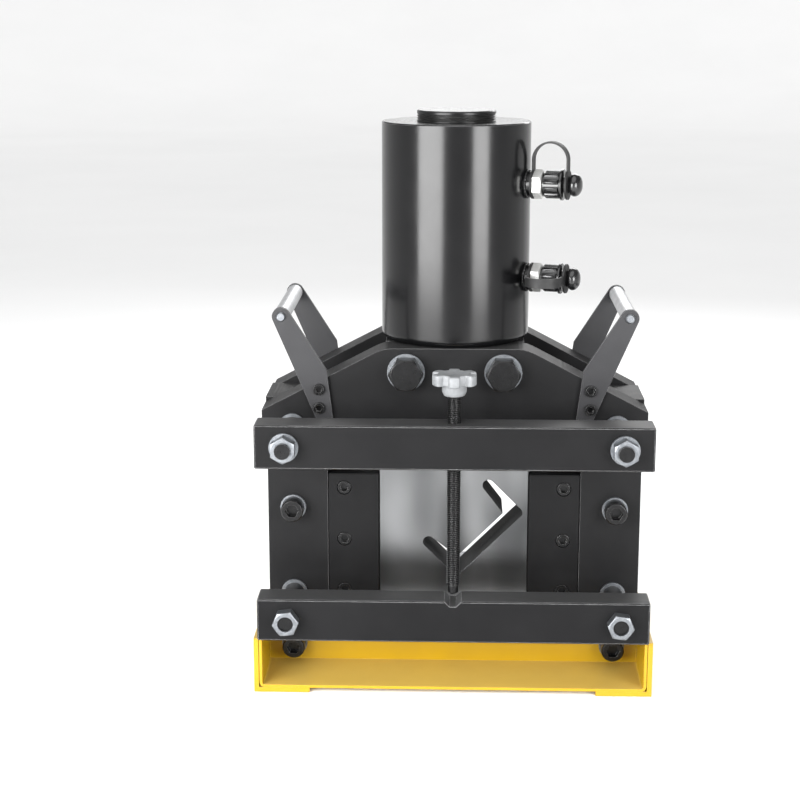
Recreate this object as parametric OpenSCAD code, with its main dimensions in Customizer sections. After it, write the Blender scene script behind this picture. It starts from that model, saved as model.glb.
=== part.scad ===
// Hydraulic channel cutter: a bench shear that cuts U-shaped steel bar with one stroke.
// Millimetres, +Z up. The ground is z = 0 and the machine faces -Y.
// Every length is drawn about the cylinder axis, and centred then on the ground plan by centre_y.

/* [Frame plates] */
// Thickness of the front plate and of the rear plate
plate_t = 42; // [34:1:50]
// Clear distance between the two plates
frame_gap = 72; // [68:1:90]
// Height of the plates
plate_h = 347; // [340:1:370]
// Clearance between the plates' legs and the angle rails' walls
leg_clear = 4; // [0.5:0.5:5]
// How far each shoulder stands out past the leg
shoulder_step = 5.5; // [3:0.5:8]
// Depth of the shoulder corner under the plates' top
shoulder_drop = 67; // [60:1:72]
// Height of the shoulder corner over the straight leg
shoulder_over_leg = 37; // [26:1:44]
// Height that the leg takes to widen
flare_h = 14; // [8:1:18]
// Width of the flat crown under the cylinder
crown_w = 150; // [140:1:170]
// Distance from the crown's corner at which its rounding starts
crown_round = 10; // [4:1:16]
// Bevel on the edges of plates, bars and blocks
bevel = 1.2; // [0.4:0.1:2]

/* [Window and blades] */
// Height on the plate of the window sill
sill_h = 41; // [34:1:44]
// Height of the plates over the window
beam_h = 90; // [84:1:96]
// Width of the window through the plates
window_w = 200; // [196:1:206]
// How far the pocket reaches past the window on each side
pocket_side = 34.5; // [31:0.5:38]
// Depth of that pocket
pocket_deep = 18; // [15:1:20]
// Width of the ledge on each side behind the fixed blade
ledge_w = 4; // [3:0.5:5]
// Thickness of that ledge
ledge_t = 12; // [10:1:13]
// Distance from the window's sides in to the polished face
face_in = 20.7; // [20:0.1:21.5]
// Thickness of the moving blade
moving_blade_t = 27.5; // [24:0.5:32]
// Gap on each side between the moving blade and the ledges
blade_side_gap = 4; // [2:0.5:6]
// Gap between the moving blade's top and the ram
blade_under_ram = 2; // [1:0.5:6]
// Depth of the gib strips' tops under the window's top
strip_drop = 46; // [36:1:51]
// Distance from a strip's top to its first screw
strip_screw_top = 15.5; // [12:0.5:20]
// Distance between the strip's screws
strip_screw_pitch = 57; // [50:1:62]
// Place of the strip's screws across the machine
strip_screw_x = 117; // [112:1:120]

/* [Channel slot] */
// Outer length of the slot along the channel's web
slot_web = 102; // [90:1:102]
// Outer length of the slot along each flange
slot_flange = 55; // [45:1:56]
// Width of the slot along the web
slot_t = 16; // [12:0.5:18]
// Width of the slot at a flange's tip
slot_tip_t = 12.5; // [9:0.5:14]
// Width of the slot at a flange's root
slot_root_t = 17; // [14:0.5:19]
// Radius of the slot's outer corners
slot_corner_r = 5; // [3:0.5:6]
// Place across the machine of the slot's lowest corner
slot_x = 3.5; // [1:0.5:4]
// Height of the slot's corner over the sill
slot_over_sill = 56; // [53:0.5:59]
// Lean of the channel's web
slot_lean = 45; // [43:0.5:47]

/* [Blade carrier] */
// Distance from the frame window's sides in to the carrier's window
carrier_window_in = 20; // [18:0.5:22]
// Height of the carrier's lower beam
carrier_beam_h = 18; // [17:0.5:20]
// Height of the moving blade over the carrier's window
carrier_head_h = 32; // [24:1:34]
// Place of the blade's screws across the machine
blade_screw_x = 60; // [50:1:66]
// Depth that the ram goes into the carrier
ram_seat = 26; // [20:1:27]
// Diameter of the cross pin that holds the ram
ram_pin_d = 12; // [9:1:12]

/* [Cylinder] */
// Outer diameter of the cylinder
barrel_d = 158.5; // [150:0.5:162]
// Height of the cylinder
barrel_h = 231.5; // [225:0.5:250]
// Radius of the cylinder's lower corner
barrel_corner_r = 8; // [4:1:12]
// Diameter of the cylinder's bore
bore_d = 80; // [76:0.5:82]
// Thickness of the cylinder's bottom
barrel_floor = 48; // [44:1:52]
// Diameter of the ram
ram_d = 50; // [44:0.5:52]
// Travel of the ram
stroke = 28; // [26:0.5:28.5]
// Outer diameter of the rod bush
bush_d = 62; // [58:0.5:64]
// Diameter of the threaded end plug
plug_d = 84; // [83:0.5:90]
// Height of the end plug over the cylinder
plug_rise = 11.5; // [8:0.5:14]
// Depth of the end plug in the cylinder
plug_deep = 32; // [26:1:36]
// Pitch of the end plug's thread
plug_pitch = 2.5; // [2:0.5:3]
// Thickness of the piston
piston_t = 40; // [36:1:42]
// Height of the piston's nut
piston_nut_h = 20; // [16:1:22]
// Diameter of the ram's threaded end
ram_thread_d = 36; // [30:1:38]

/* [Crosshead] */
// Width of the crosshead
crosshead_w = 148; // [136:1:150]
// Height of the crosshead
crosshead_h = 60; // [56:1:64]
// Height of the spigot under the cylinder
spigot_h = 18; // [12:1:22]
// Diameter of that spigot
spigot_d = 66; // [62:0.5:66]
// Diameter of the crosshead's bolts
crosshead_bolt_d = 22; // [20:1:24]
// Place of the crosshead's bolts across the machine
crosshead_bolt_x = 51; // [49:0.5:54]
// Depth of those bolts under the plates' top
crosshead_bolt_down = 25; // [22:0.5:30]
// Width across flats of those bolts' heads
crosshead_bolt_af = 32; // [30:1:35]

/* [Oil couplers] */
// Angle of both couplers, turned from the right side towards the front
port_turn = 16; // [0:1:30]
// Height of the upper coupler over the cylinder's foot
upper_port_h = 167; // [165:0.5:170]
// Height of the lower coupler over the cylinder's foot
lower_port_h = 68; // [64:0.5:72]
// Diameter of the boss that each coupler screws into
boss_d = 27; // [25:0.5:32]
// How far the boss stands out of the cylinder
boss_rise = 4; // [3:0.5:8]
// Diameter of the coupler's shank
shank_d = 17; // [14:0.5:18]
// Width across flats of the coupler's hexagon
coupler_af = 27; // [26:0.5:28]
// Length of the coupler's hexagon
coupler_hex_len = 9.5; // [8:0.5:16]
// Diameter of the coupler's nose
nose_d = 21; // [18:0.5:22]
// Length of the coupler's nose
nose_len = 16; // [12:0.5:18]
// Outer diameter of the dust cap over its ribs
cap_d = 29; // [28:0.5:31]
// Length of the dust cap's ribbed skirt
cap_len = 18.5; // [18.5:0.5:22]
// Travel of the dust cap on its thread
cap_travel = 3; // [2:0.5:4]
// Diameter of the dust cap's knob
cap_knob_d = 24; // [22:0.5:26]
// Length of the dust cap's knob
cap_knob_len = 14; // [12.5:0.5:16]
// Width of the cap's strap
strap_w = 10; // [7:0.5:11]
// Thickness of the cap's strap
strap_t = 2; // [1.6:0.1:2.4]
// Height of the strap's loop over the coupler's axis
strap_rise = 45; // [38:1:50]

/* [Stock clamp] */
// Length of the clamp bars past the studs
bar_over = 30.5; // [24:0.5:34]
// Depth of the clamp bars
bar_t = 35; // [30:1:40]
// Height of the upper clamp bar
upper_bar_h = 45.5; // [40:0.5:48]
// Height of the lower clamp bar
lower_bar_h = 44.5; // [40:0.5:48]
// Distance from the front plate to the bars' backs
bar_off = 58; // [50:1:64]
// Depth of the upper studs under the plates' top
upper_stud_drop = 84; // [80:0.5:88]
// Height of the lower studs on the plate
lower_stud_h = 79; // [76:0.5:84]
// Diameter of the studs
stud_d = 16; // [14:1:18]
// Distance from the legs' sides in to the studs and frame screws
column_in = 27; // [25:0.5:30]
// Depth of the studs in the front plate
stud_deep = 34; // [24:1:36]
// Outer diameter of the sleeves on the studs
sleeve_d = 21; // [20:0.5:24]
// Width across flats of the stud nuts
stud_nut_af = 24; // [22:0.5:26]
// Thickness of the stud nuts
stud_nut_h = 13; // [10:0.5:15]
// Diameter of the clamp screw
clamp_screw_d = 14; // [12:0.5:16]
// Height of the clamp screw's tip over the lower bar
tip_gap = 4; // [2:0.5:10]
// Diameter of the swivel tip
tip_d = 11; // [9:0.5:12]
// Height of the swivel tip
tip_h = 9; // [8:0.5:12]
// Width of the lower bar's notch at the top
notch_w = 17.5; // [15:0.5:22]
// Width of the notch at the bottom
notch_floor_w = 6.6; // [4:0.2:10]
// Depth of the notch
notch_deep = 5.6; // [4:0.2:8]

/* [Star knob] */
// Diameter over the star knob's lobes
knob_d = 47.5; // [42:0.5:54]
// Height of the star knob's lobes
knob_h = 11.5; // [9:0.5:14]
// Width of a lobe
knob_lobe_w = 12; // [10:0.5:13]
// Number of lobes
knob_lobes = 6; // [5, 6, 7]
// Diameter of the knob's hub
knob_hub_d = 25; // [22:0.5:28]
// Height of the knob's hub
knob_hub_h = 11.5; // [8:0.5:14]
// Height of the hub's underside over the upper bar
knob_over_bar = 28.5; // [20:0.5:40]

/* [Carrying handles] */
// Thickness of the handle arms
arm_t = 5; // [4:0.5:8]
// Distance from the legs' sides in to the grips
grip_in = 17; // [12:0.5:22]
// Height of the grips over the plates' top
grip_rise = 34; // [24:1:44]
// Height of the arms' elbows over the lower arm screw
elbow_rise = 41; // [36:1:46]
// Diameter of the grips
grip_d = 17; // [14:1:18]
// Radius of the arm's round end
arm_end_r = 9.5; // [9:0.5:12]
// Distance from the studs in to the arm screws
arm_screw_in = 29; // [28:0.5:31]
// Depth of the lower arm screw under the plates' top
arm_screw_drop = 63; // [62:0.5:66]
// Distance between the two arm screws
arm_screw_pitch = 20; // [18:0.5:21]
// Diameter of the arm screws
arm_screw_d = 8; // [6:1:8]

/* [Base] */
// Width of the base
base_w = 415; // [410:1:430]
// Reach of each tray out from the plate
tray_reach = 80; // [70:1:90]
// Sheet thickness of the trays
tray_t = 3; // [2:0.5:4]
// Outside radius of the trays' folds
fold_r = 5; // [4.5:0.5:7]
// Gap between the trays' sides and the angle rails
rail_gap = 0.6; // [0.4:0.1:1]
// Height of the trays' walls over the rails' feet
tray_wall_h = 54; // [50:1:56]
// Thickness of the angle rails
foot_t = 5; // [4:0.5:8]
// Width of the angle rails' feet
foot_w = 58; // [50:1:62]
// Height on the plate of the tray screws
tray_screw_h = 22; // [20:0.5:26]

/* [Screws] */
// Diameter of the screws through the plates
frame_screw_d = 16; // [14:1:16]
// Length of those screws under the head
frame_screw_len = 76; // [66:1:90]
// Diameter of the washers under those screws and behind the clamp bars
screw_washer_d = 27.5; // [26:0.5:30]
// Diameter of the washers under the upper studs' nuts
washer_d = 30; // [28:0.5:32]
// Thickness of both kinds of washer
washer_t = 3; // [2:0.5:4]
// Diameter of the crosshead bolts' washers
big_washer_d = 39.5; // [38:0.5:42]
// Thickness of the crosshead bolts' washers
big_washer_t = 3; // [2:0.5:4]
// Height on the plate of the middle frame screws
middle_screw_h = 174; // [165:1:182]
// Diameter of the strip screws
strip_screw_d = 10; // [8:1:10]

/* [Fits] */
// Radial clearance of the ram, the piston and the clamp screw
running_fit = 0.05; // [0.02:0.01:0.1]
// Gap beside flat parts that slide
slide_gap = 0.2; // [0.1:0.05:0.3]
// Gap between the two blades' shear faces
shear_gap = 0.1; // [0.05:0.05:0.3]
// Radial clearance of a screw in a thread
thread_fit = 0.05; // [0.02:0.01:0.1]
// Radial clearance of a screw in a plain hole
hole_fit = 0.3; // [0.2:0.1:0.5]

/* [Hidden] */
$fn = 64;

// Widths, which all follow the base
leg_w = base_w - 2 * (foot_t + leg_clear);
shoulder_w = leg_w + 2 * shoulder_step;
column_x = leg_w / 2 - column_in;
bar_len = 2 * (column_x + bar_over);
grip_x = leg_w / 2 - grip_in;
arm_screw_x = column_x - arm_screw_in;
moving_blade_w = window_w - 2 * (ledge_w + blade_side_gap);
pocket_w = window_w + 2 * pocket_side;
face_w = window_w - 2 * face_in;
carrier_window_w = window_w - 2 * carrier_window_in;

// Depths, measured from the cylinder axis
face_y = frame_gap / 2 + plate_t;
strip_back_y = face_y - pocket_deep;
ledge_y = frame_gap / 2 + ledge_t;
moving_front_y = ledge_y - shear_gap;
moving_back_y = moving_front_y - moving_blade_t;
carrier_y = frame_gap / 2 - slide_gap;
bar_back_y = face_y + bar_off;
bar_front_y = bar_back_y + bar_t;
bar_mid_y = bar_back_y + bar_t / 2;
stud_stick = 3;
front_reach = bar_front_y + washer_t + stud_nut_h + stud_stick;
rear_reach = face_y + tray_reach;
centre_y = (front_reach - rear_reach) / 2;
far = 500;
skin = 0.01;

// Heights on the plates
shoulder_h = plate_h - shoulder_drop;
leg_h = shoulder_h - shoulder_over_leg;
upper_stud_h = plate_h - upper_stud_drop;
arm_screw_h = plate_h - arm_screw_drop;
grip_h = plate_h + grip_rise;
window_h = plate_h - sill_h - beam_h;
strip_h = window_h - strip_drop;
slot_h = sill_h + slot_over_sill;

// Heights, measured from the ground
plate_z = foot_t;
crown_z = plate_z + plate_h;
sill_z = plate_z + sill_h;
spacer_over_shoulder = 5;
spacer_h = shoulder_h + spacer_over_shoulder;
blade_over_sill = 2;
moving_blade_z = sill_z + stroke + blade_over_sill;
carrier_gap = 6;
crosshead_z = crown_z - crosshead_h;
carrier_top_z = crosshead_z - carrier_gap;
carrier_window_z = moving_blade_z + carrier_beam_h;
bore_z = crown_z + barrel_floor;
barrel_top_z = crown_z + barrel_h;
plug_z = barrel_top_z - plug_deep;
nose_drop = 25;
plug_nose_z = plug_z - nose_drop;
nut_gap = 1;
piston_top_z = plug_nose_z - nut_gap - piston_nut_h;
piston_z = piston_top_z - piston_t;
stop_gap = 0.4;
bush_top_z = piston_z - stroke - stop_gap;
bush_z = crown_z + 8;
ram_foot_z = carrier_top_z - ram_seat;
blade_top_z = ram_foot_z - blade_under_ram;
moving_blade_h = blade_top_z - moving_blade_z;
carrier_window_top_z = blade_top_z - carrier_head_h;
carrier_window_h = carrier_window_top_z - carrier_window_z;
upper_stud_z = plate_z + upper_stud_h;
lower_stud_z = plate_z + lower_stud_h;
upper_bar_z = upper_stud_z - upper_bar_h / 2;
lower_bar_z = lower_stud_z - lower_bar_h / 2;
lower_bar_top_z = lower_bar_z + lower_bar_h;
tip_z = lower_bar_top_z + tip_gap;
hub_z = upper_bar_z + upper_bar_h + knob_over_bar;
crosshead_bolt_z = crown_z - crosshead_bolt_down;
tray_screw_z = plate_z + tray_screw_h;
middle_screw_z = plate_z + middle_screw_h;
grip_z = plate_z + grip_h;

// The points of a right half and of the left half that mirrors it, in one round
function both_halves(points) = concat(points, [
    for (i = [len(points) - 1 : -1 : 0]) [-points[i].x, points[i].y]
]);

// The right leg's outline, from the ground up, as width and height
leg_outline = [[leg_w / 2, 0], [leg_w / 2, leg_h], [shoulder_w / 2, leg_h + flare_h]];

// The right crown corner's rounding, cut in short straight runs from the slope to the crown
crown_cuts = 3;
shoulder_corner = [shoulder_w / 2, shoulder_h];
crown_corner = [crown_w / 2, plate_h];
crown_slope = shoulder_corner - crown_corner;
crown_start = crown_corner + crown_slope / norm(crown_slope) * crown_round;
crown_end = crown_corner - [crown_round, 0];
crown_points = [
    for (i = [0 : crown_cuts]) let (s = i / crown_cuts)
        (1 - s) * (1 - s) * crown_start + 2 * s * (1 - s) * crown_corner + s * s * crown_end
];

// The right half of the plates' outline
plate_half_outline = concat(leg_outline, [shoulder_corner], crown_points);
plate_outline = both_halves(plate_half_outline);

// Proportions of hexagon socket screws, as shares of the thread's diameter
head_share = 1.5;
socket_share = 0.8;
socket_deep_share = 0.5;
nut_corner = 2 / sqrt(3);

// Moves a piece from the cylinder axis to its place over the ground plan
module seat() {
    translate([0, centre_y, 0]) children();
}

module both_sides() {
    children();
    mirror([1, 0, 0]) children();
}

// Stands a drawing of width and height upright, from depth y0 to y1
module upright(y0, y1) {
    translate([0, y1, 0]) rotate([90, 0, 0]) linear_extrude(y1 - y0) children();
}

// Points a piece that is drawn along +Z out of the front or the rear
module facing_front(x, y, z) {
    translate([x, y, z]) rotate([90, 0, 0]) children();
}

module facing_rear(x, y, z) {
    translate([x, y, z]) rotate([-90, 0, 0]) children();
}

// A rectangle with its corners cut off
module cut_rect(w, h, c) {
    polygon([[c, 0], [w - c, 0], [w, c], [w, h - c], [w - c, h], [c, h], [0, h - c], [0, c]]);
}

// A box from its low corner, with a bevel on every edge
module bevel_box(size, c) {
    intersection() {
        linear_extrude(size.z) cut_rect(size.x, size.y, c);
        translate([0, size.y, 0]) rotate([90, 0, 0]) linear_extrude(size.y) cut_rect(size.x, size.z, c);
        rotate([90, 0, 90]) linear_extrude(size.x) cut_rect(size.y, size.z, c);
    }
}

// A square bar on its corner along an edge from p to q, which cuts the edge's bevel
module edge_cutter(p, q, y, c) {
    run = norm(q - p);
    turn = atan2(q.y - p.y, q.x - p.x);
    translate([p.x, y, p.y]) rotate([0, -turn, 0]) translate([-c, 0, 0])
        rotate([90, 0, 90]) linear_extrude(run + 2 * c)
            polygon([[c, 0], [0, c], [-c, 0], [0, -c]]);
}

// Bevels the plates' outline on the face at depth y
module plate_edge_cutters(y) {
    count = len(plate_outline);
    translate([0, 0, plate_z])
        for (i = [0 : count - 1])
            edge_cutter(plate_outline[i], plate_outline[(i + 1) % count], y, bevel);
}

// A plain round hole along the depth, from y0 to y1
module depth_hole(x, z, r, y0, y1) {
    translate([x, y0, z]) rotate([-90, 0, 0]) cylinder(r = r, h = y1 - y0);
}

module hexagon(af) {
    circle(r = af / 2 * nut_corner, $fn = 6);
}

// A hexagon prism whose top corners are turned off
module hex_head(af, h) {
    corner_r = af / 2 * nut_corner;
    chamfer = af * 0.06;
    intersection() {
        linear_extrude(h) hexagon(af);
        rotate_extrude() polygon([
            [0, 0], [corner_r, 0], [corner_r, h - chamfer], [af / 2 * 0.96, h], [0, h],
        ]);
    }
}

module nut(af, h, d) {
    difference() {
        hex_head(af, h);
        translate([0, 0, -skin]) cylinder(d = d + 2 * thread_fit, h = h + 2 * skin);
    }
}

module washer(d, t, hole) {
    difference() {
        cylinder(d = d, h = t);
        translate([0, 0, -skin]) cylinder(d = hole + 2 * hole_fit, h = t + 2 * skin);
    }
}

// A hexagon socket screw with its head on z = 0 and its shank below
module socket_screw(d, length, head_h) {
    head_r = d * head_share / 2;
    round_off = d * 0.08;
    difference() {
        rotate_extrude() polygon([
            [0, -length], [d / 2 - round_off, -length], [d / 2, -length + round_off], [d / 2, 0],
            [head_r, 0], [head_r, head_h - round_off], [head_r - round_off, head_h], [0, head_h],
        ]);
        translate([0, 0, head_h - d * socket_deep_share])
            linear_extrude(d) hexagon(d * socket_share);
    }
}

// A ring groove thread on a bar of radius r, from z0 to z1, as a turned outline
function thread_points(r, z0, z1, pitch, deep) = [
    for (i = [0 : floor((z1 - z0) / pitch) - 1])
        each [
            [r, z0 + i * pitch], [r - deep, z0 + (i + 0.35) * pitch],
            [r - deep, z0 + (i + 0.5) * pitch], [r, z0 + (i + 0.85) * pitch],
        ],
];

// FRAME PLATES

// The space in the front plate that holds the blades: pocket, window and ledge
module front_window() {
    translate([-pocket_w / 2, -face_y - skin, sill_z]) cube([pocket_w, pocket_deep + skin, window_h]);
    translate([-window_w / 2, -face_y, sill_z])
        cube([window_w, face_y - ledge_y, window_h]);
    translate([-window_w / 2 + ledge_w, -face_y, sill_z])
        cube([window_w - 2 * ledge_w, face_y, window_h]);
}

// Holes for the crosshead's two bolts
module crosshead_bolt_holes(y0, y1) {
    both_sides()
        depth_hole(crosshead_bolt_x, crosshead_bolt_z, crosshead_bolt_d / 2 + hole_fit, y0, y1);
}

// Holes for every screw that goes through a plate into the spacers, at the front or at the rear
module column_holes(y0, y1, heights) {
    both_sides()
        for (z = heights)
            depth_hole(column_x, z, frame_screw_d / 2 + hole_fit, y0, y1);
}

module arm_screw_holes(y0, y1) {
    both_sides()
        for (i = [0, 1])
            depth_hole(arm_screw_x, plate_z + arm_screw_h + i * arm_screw_pitch,
                arm_screw_d / 2 + thread_fit, y0, y1);
}

front_screw_heights = [middle_screw_z, tray_screw_z];
rear_screw_heights = [upper_stud_z, middle_screw_z, lower_stud_z, tray_screw_z];
arm_screw_deep = 16;

module front_plate() {
    color("#2b2b2d") seat() difference() {
        upright(-face_y, -frame_gap / 2) translate([0, plate_z]) polygon(plate_outline);
        front_window();
        plate_edge_cutters(-face_y);
        crosshead_bolt_holes(-face_y - 1, -frame_gap / 2 + 1);
        column_holes(-face_y - 1, -frame_gap / 2 + 1, front_screw_heights);
        both_sides() for (z = [upper_stud_z, lower_stud_z])
            depth_hole(column_x, z, stud_d / 2 + thread_fit, -face_y - 1, -face_y + stud_deep);
        arm_screw_holes(-face_y - 1, -face_y + arm_screw_deep);
        both_sides() for (z = strip_screw_heights)
            depth_hole(strip_screw_x, z, strip_screw_d / 2 + thread_fit, -strip_back_y - 1,
                -strip_back_y + strip_screw_bite);
    }
}

module rear_plate() {
    color("#29292b") seat() difference() {
        upright(frame_gap / 2, face_y) translate([0, plate_z]) polygon(plate_outline);
        translate([-window_w / 2, 0, sill_z]) cube([window_w, face_y + 1, window_h]);
        plate_edge_cutters(face_y);
        crosshead_bolt_holes(frame_gap / 2 - 1, face_y + 1);
        column_holes(frame_gap / 2 - 1, face_y + 1, rear_screw_heights);
        arm_screw_holes(face_y - arm_screw_deep, face_y + 1);
    }
}

spacer_screw_bite = frame_screw_len - plate_t;

// The block between the plates on the right, which also guides the carrier
module spacer_block() {
    difference() {
        upright(-frame_gap / 2, frame_gap / 2) translate([0, plate_z]) polygon(concat(leg_outline, [
            [shoulder_w / 2, spacer_h], [pocket_w / 2, spacer_h], [pocket_w / 2, 0],
        ]));
        for (z = front_screw_heights)
            depth_hole(column_x, z, frame_screw_d / 2 + thread_fit, -frame_gap / 2 - 1,
                -frame_gap / 2 + spacer_screw_bite);
        for (z = rear_screw_heights)
            depth_hole(column_x, z, frame_screw_d / 2 + thread_fit, frame_gap / 2 - spacer_screw_bite,
                frame_gap / 2 + 1);
    }
}

module right_spacer() {
    color("#353538") seat() spacer_block();
}

module left_spacer() {
    color("#353538") seat() mirror([1, 0, 0]) spacer_block();
}

module crosshead() {
    color("#313134") seat() difference() {
        translate([-crosshead_w / 2, -frame_gap / 2, crosshead_z])
            cube([crosshead_w, frame_gap, crosshead_h]);
        translate([0, 0, crown_z - spigot_h]) cylinder(d = spigot_d + 2 * thread_fit, h = spigot_h + 1);
        translate([0, 0, crosshead_z - 1]) cylinder(d = ram_d + 2 * hole_fit, h = crosshead_h + 2);
        crosshead_bolt_holes(-frame_gap / 2 - 1, frame_gap / 2 + 1);
    }
}

crosshead_head_h = 18;
crosshead_nut_h = 19;
crosshead_bolt_stick = 4;

module crosshead_bolts() {
    length = 2 * (face_y + big_washer_t) + crosshead_nut_h + crosshead_bolt_stick;
    color("#3a3a3c") seat() both_sides()
        facing_front(crosshead_bolt_x, -face_y - big_washer_t, crosshead_bolt_z) union() {
            hex_head(crosshead_bolt_af, crosshead_head_h);
            translate([0, 0, -length]) cylinder(d = crosshead_bolt_d, h = length);
        }
}

module crosshead_washers() {
    color("#c9cbcd") seat() both_sides() {
        facing_front(crosshead_bolt_x, -face_y, crosshead_bolt_z)
            washer(big_washer_d, big_washer_t, crosshead_bolt_d);
        facing_rear(crosshead_bolt_x, face_y, crosshead_bolt_z)
            washer(big_washer_d, big_washer_t, crosshead_bolt_d);
    }
}

module crosshead_nuts() {
    color("#3a3a3c") seat() both_sides()
        facing_rear(crosshead_bolt_x, face_y + big_washer_t, crosshead_bolt_z)
            nut(crosshead_bolt_af, crosshead_nut_h, crosshead_bolt_d);
}

// The screws that hold the plates to the spacers, in front and behind
module frame_screws() {
    color("#2c2c2e") seat() both_sides() {
        facing_front(column_x, -face_y - washer_t, middle_screw_z)
            socket_screw(frame_screw_d, frame_screw_len, frame_screw_d);
        for (z = [upper_stud_z, middle_screw_z, lower_stud_z])
            facing_rear(column_x, face_y + washer_t, z)
                socket_screw(frame_screw_d, frame_screw_len, frame_screw_d);
    }
}

module frame_screw_washers() {
    color("#c9cbcd") seat() both_sides() {
        facing_front(column_x, -face_y, middle_screw_z) washer(screw_washer_d, washer_t, frame_screw_d);
        for (z = [upper_stud_z, middle_screw_z, lower_stud_z])
            facing_rear(column_x, face_y, z) washer(screw_washer_d, washer_t, frame_screw_d);
    }
}

// BLADES

strip_top_z = sill_z + strip_h;
strip_screw_heights = [for (i = [0 : 2]) strip_top_z - strip_screw_top - i * strip_screw_pitch];
strip_screw_seat = pocket_deep - strip_screw_d - 0.5;
strip_screw_bite = 19;

// The channel's shape as one side of the slot: half the web, a rounded corner and a flange
module slot_half() {
    tip_r = slot_tip_t / 2;
    translate([slot_corner_r, slot_corner_r]) circle(r = slot_corner_r);
    translate([slot_corner_r, 0]) square([slot_web / 2 - slot_corner_r + skin, slot_t]);
    translate([0, slot_corner_r]) square([slot_root_t, slot_t - slot_corner_r]);
    polygon([
        [0, slot_t - 1], [slot_root_t, slot_t - 1],
        [slot_tip_t, slot_flange - tip_r], [0, slot_flange - tip_r],
    ]);
    translate([tip_r, slot_flange - tip_r]) circle(r = tip_r);
}

// The slot through both blades, with its lowest corner at slot_x
module slot_cut() {
    upright(-face_y - 1, 0) translate([slot_x, plate_z + slot_h]) rotate(slot_lean) {
        slot_half();
        translate([slot_web, 0]) mirror([1, 0]) slot_half();
    }
}

face_back = 0.5;

module fixed_blade() {
    shoulder_half = window_w / 2 - slide_gap;
    color("#d5d7da") seat() difference() {
        union() {
            translate([-shoulder_half, -strip_back_y, sill_z])
                cube([2 * shoulder_half, strip_back_y - ledge_y, window_h - slide_gap]);
            translate([-face_w / 2, -face_y + face_back, sill_z])
                bevel_box([face_w, face_y - face_back - ledge_y, window_h - slide_gap], bevel * 0.6);
        }
        slot_cut();
    }
}

module gib_strip() {
    inner_x = face_w / 2 + slide_gap;
    width = pocket_w / 2 - slide_gap - inner_x;
    difference() {
        translate([inner_x, -face_y, sill_z]) bevel_box([width, pocket_deep, strip_h], bevel);
        for (z = strip_screw_heights) {
            depth_hole(strip_screw_x, z, strip_screw_d / 2 + hole_fit, -face_y - 1, -strip_back_y + 1);
            depth_hole(strip_screw_x, z, strip_screw_d * head_share / 2 + hole_fit, -face_y - 1,
                -strip_back_y - strip_screw_seat);
        }
    }
}

module right_gib_strip() {
    color("#262628") seat() gib_strip();
}

module left_gib_strip() {
    color("#262628") seat() mirror([1, 0, 0]) gib_strip();
}

module gib_screws() {
    length = strip_screw_seat + strip_screw_bite - 1;
    color("#343436") seat() both_sides()
        for (z = strip_screw_heights)
            facing_front(strip_screw_x, -strip_back_y - strip_screw_seat, z)
                socket_screw(strip_screw_d, length, strip_screw_d);
}

blade_screw_d = 8;
blade_screw_bite = 16;
blade_screw_sunk = blade_screw_d + 0.5;
blade_screw_heights = [
    moving_blade_z + carrier_beam_h / 2, (carrier_window_top_z + blade_top_z) / 2,
];
blade_screw_places = [for (x = [-1, 0, 1]) x * blade_screw_x];

module moving_blade() {
    color("#bfc2c6") seat() difference() {
        translate([-moving_blade_w / 2, -moving_front_y, moving_blade_z])
            cube([moving_blade_w, moving_blade_t, moving_blade_h]);
        slot_cut();
        for (x = blade_screw_places) for (z = blade_screw_heights) {
            depth_hole(x, z, blade_screw_d / 2 + hole_fit, -face_y, 0);
            depth_hole(x, z, blade_screw_d * head_share / 2 + hole_fit, -face_y,
                -moving_front_y + blade_screw_sunk);
        }
    }
}

module blade_screws() {
    length = moving_blade_t - blade_screw_sunk + blade_screw_bite;
    color("#3c3c3e") seat()
        for (x = blade_screw_places) for (z = blade_screw_heights)
            facing_front(x, -moving_front_y + blade_screw_sunk, z)
                socket_screw(blade_screw_d, length, blade_screw_d);
}

// The block on the ram's end, which slides between the spacers and carries the moving blade
module blade_carrier() {
    half_w = pocket_w / 2 - slide_gap;
    color("#3d3e41") seat() difference() {
        translate([-half_w, -carrier_y, moving_blade_z])
            bevel_box([2 * half_w, 2 * carrier_y, carrier_top_z - moving_blade_z], bevel);
        translate([-carrier_window_w / 2, -face_y, carrier_window_z])
            cube([carrier_window_w, 2 * face_y, carrier_window_h]);
        translate([-moving_blade_w / 2 - slide_gap, -face_y, moving_blade_z - 1])
            cube([moving_blade_w + 2 * slide_gap, face_y - moving_back_y, moving_blade_h + 1 + slide_gap]);
        translate([0, 0, ram_foot_z]) cylinder(d = ram_d + 2 * thread_fit, h = ram_seat + 1);
        depth_hole(0, ram_foot_z + ram_seat / 2, ram_pin_d / 2 + thread_fit, -far, far);
        for (x = blade_screw_places) for (z = blade_screw_heights)
            depth_hole(x, z, blade_screw_d / 2 + thread_fit, -face_y,
                -moving_back_y + blade_screw_bite + 1);
    }
}

module ram_pin() {
    color("#6c6e70") seat()
        depth_hole(0, ram_foot_z + ram_seat / 2, ram_pin_d / 2, 1 - carrier_y, carrier_y - 1);
}

// CYLINDER

port_heights = [crown_z + upper_port_h, crown_z + lower_port_h];
port_r = 5;
boss_face = barrel_d / 2 + boss_rise;
boss_root = bore_d / 2 + 8;
shank_len = 16;

// Turns a piece that is drawn along +Z from the cylinder axis out along a coupler's axis
module along_port(z) {
    translate([0, 0, z]) rotate([0, 0, -port_turn]) rotate([0, 90, 0]) children();
}

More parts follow.
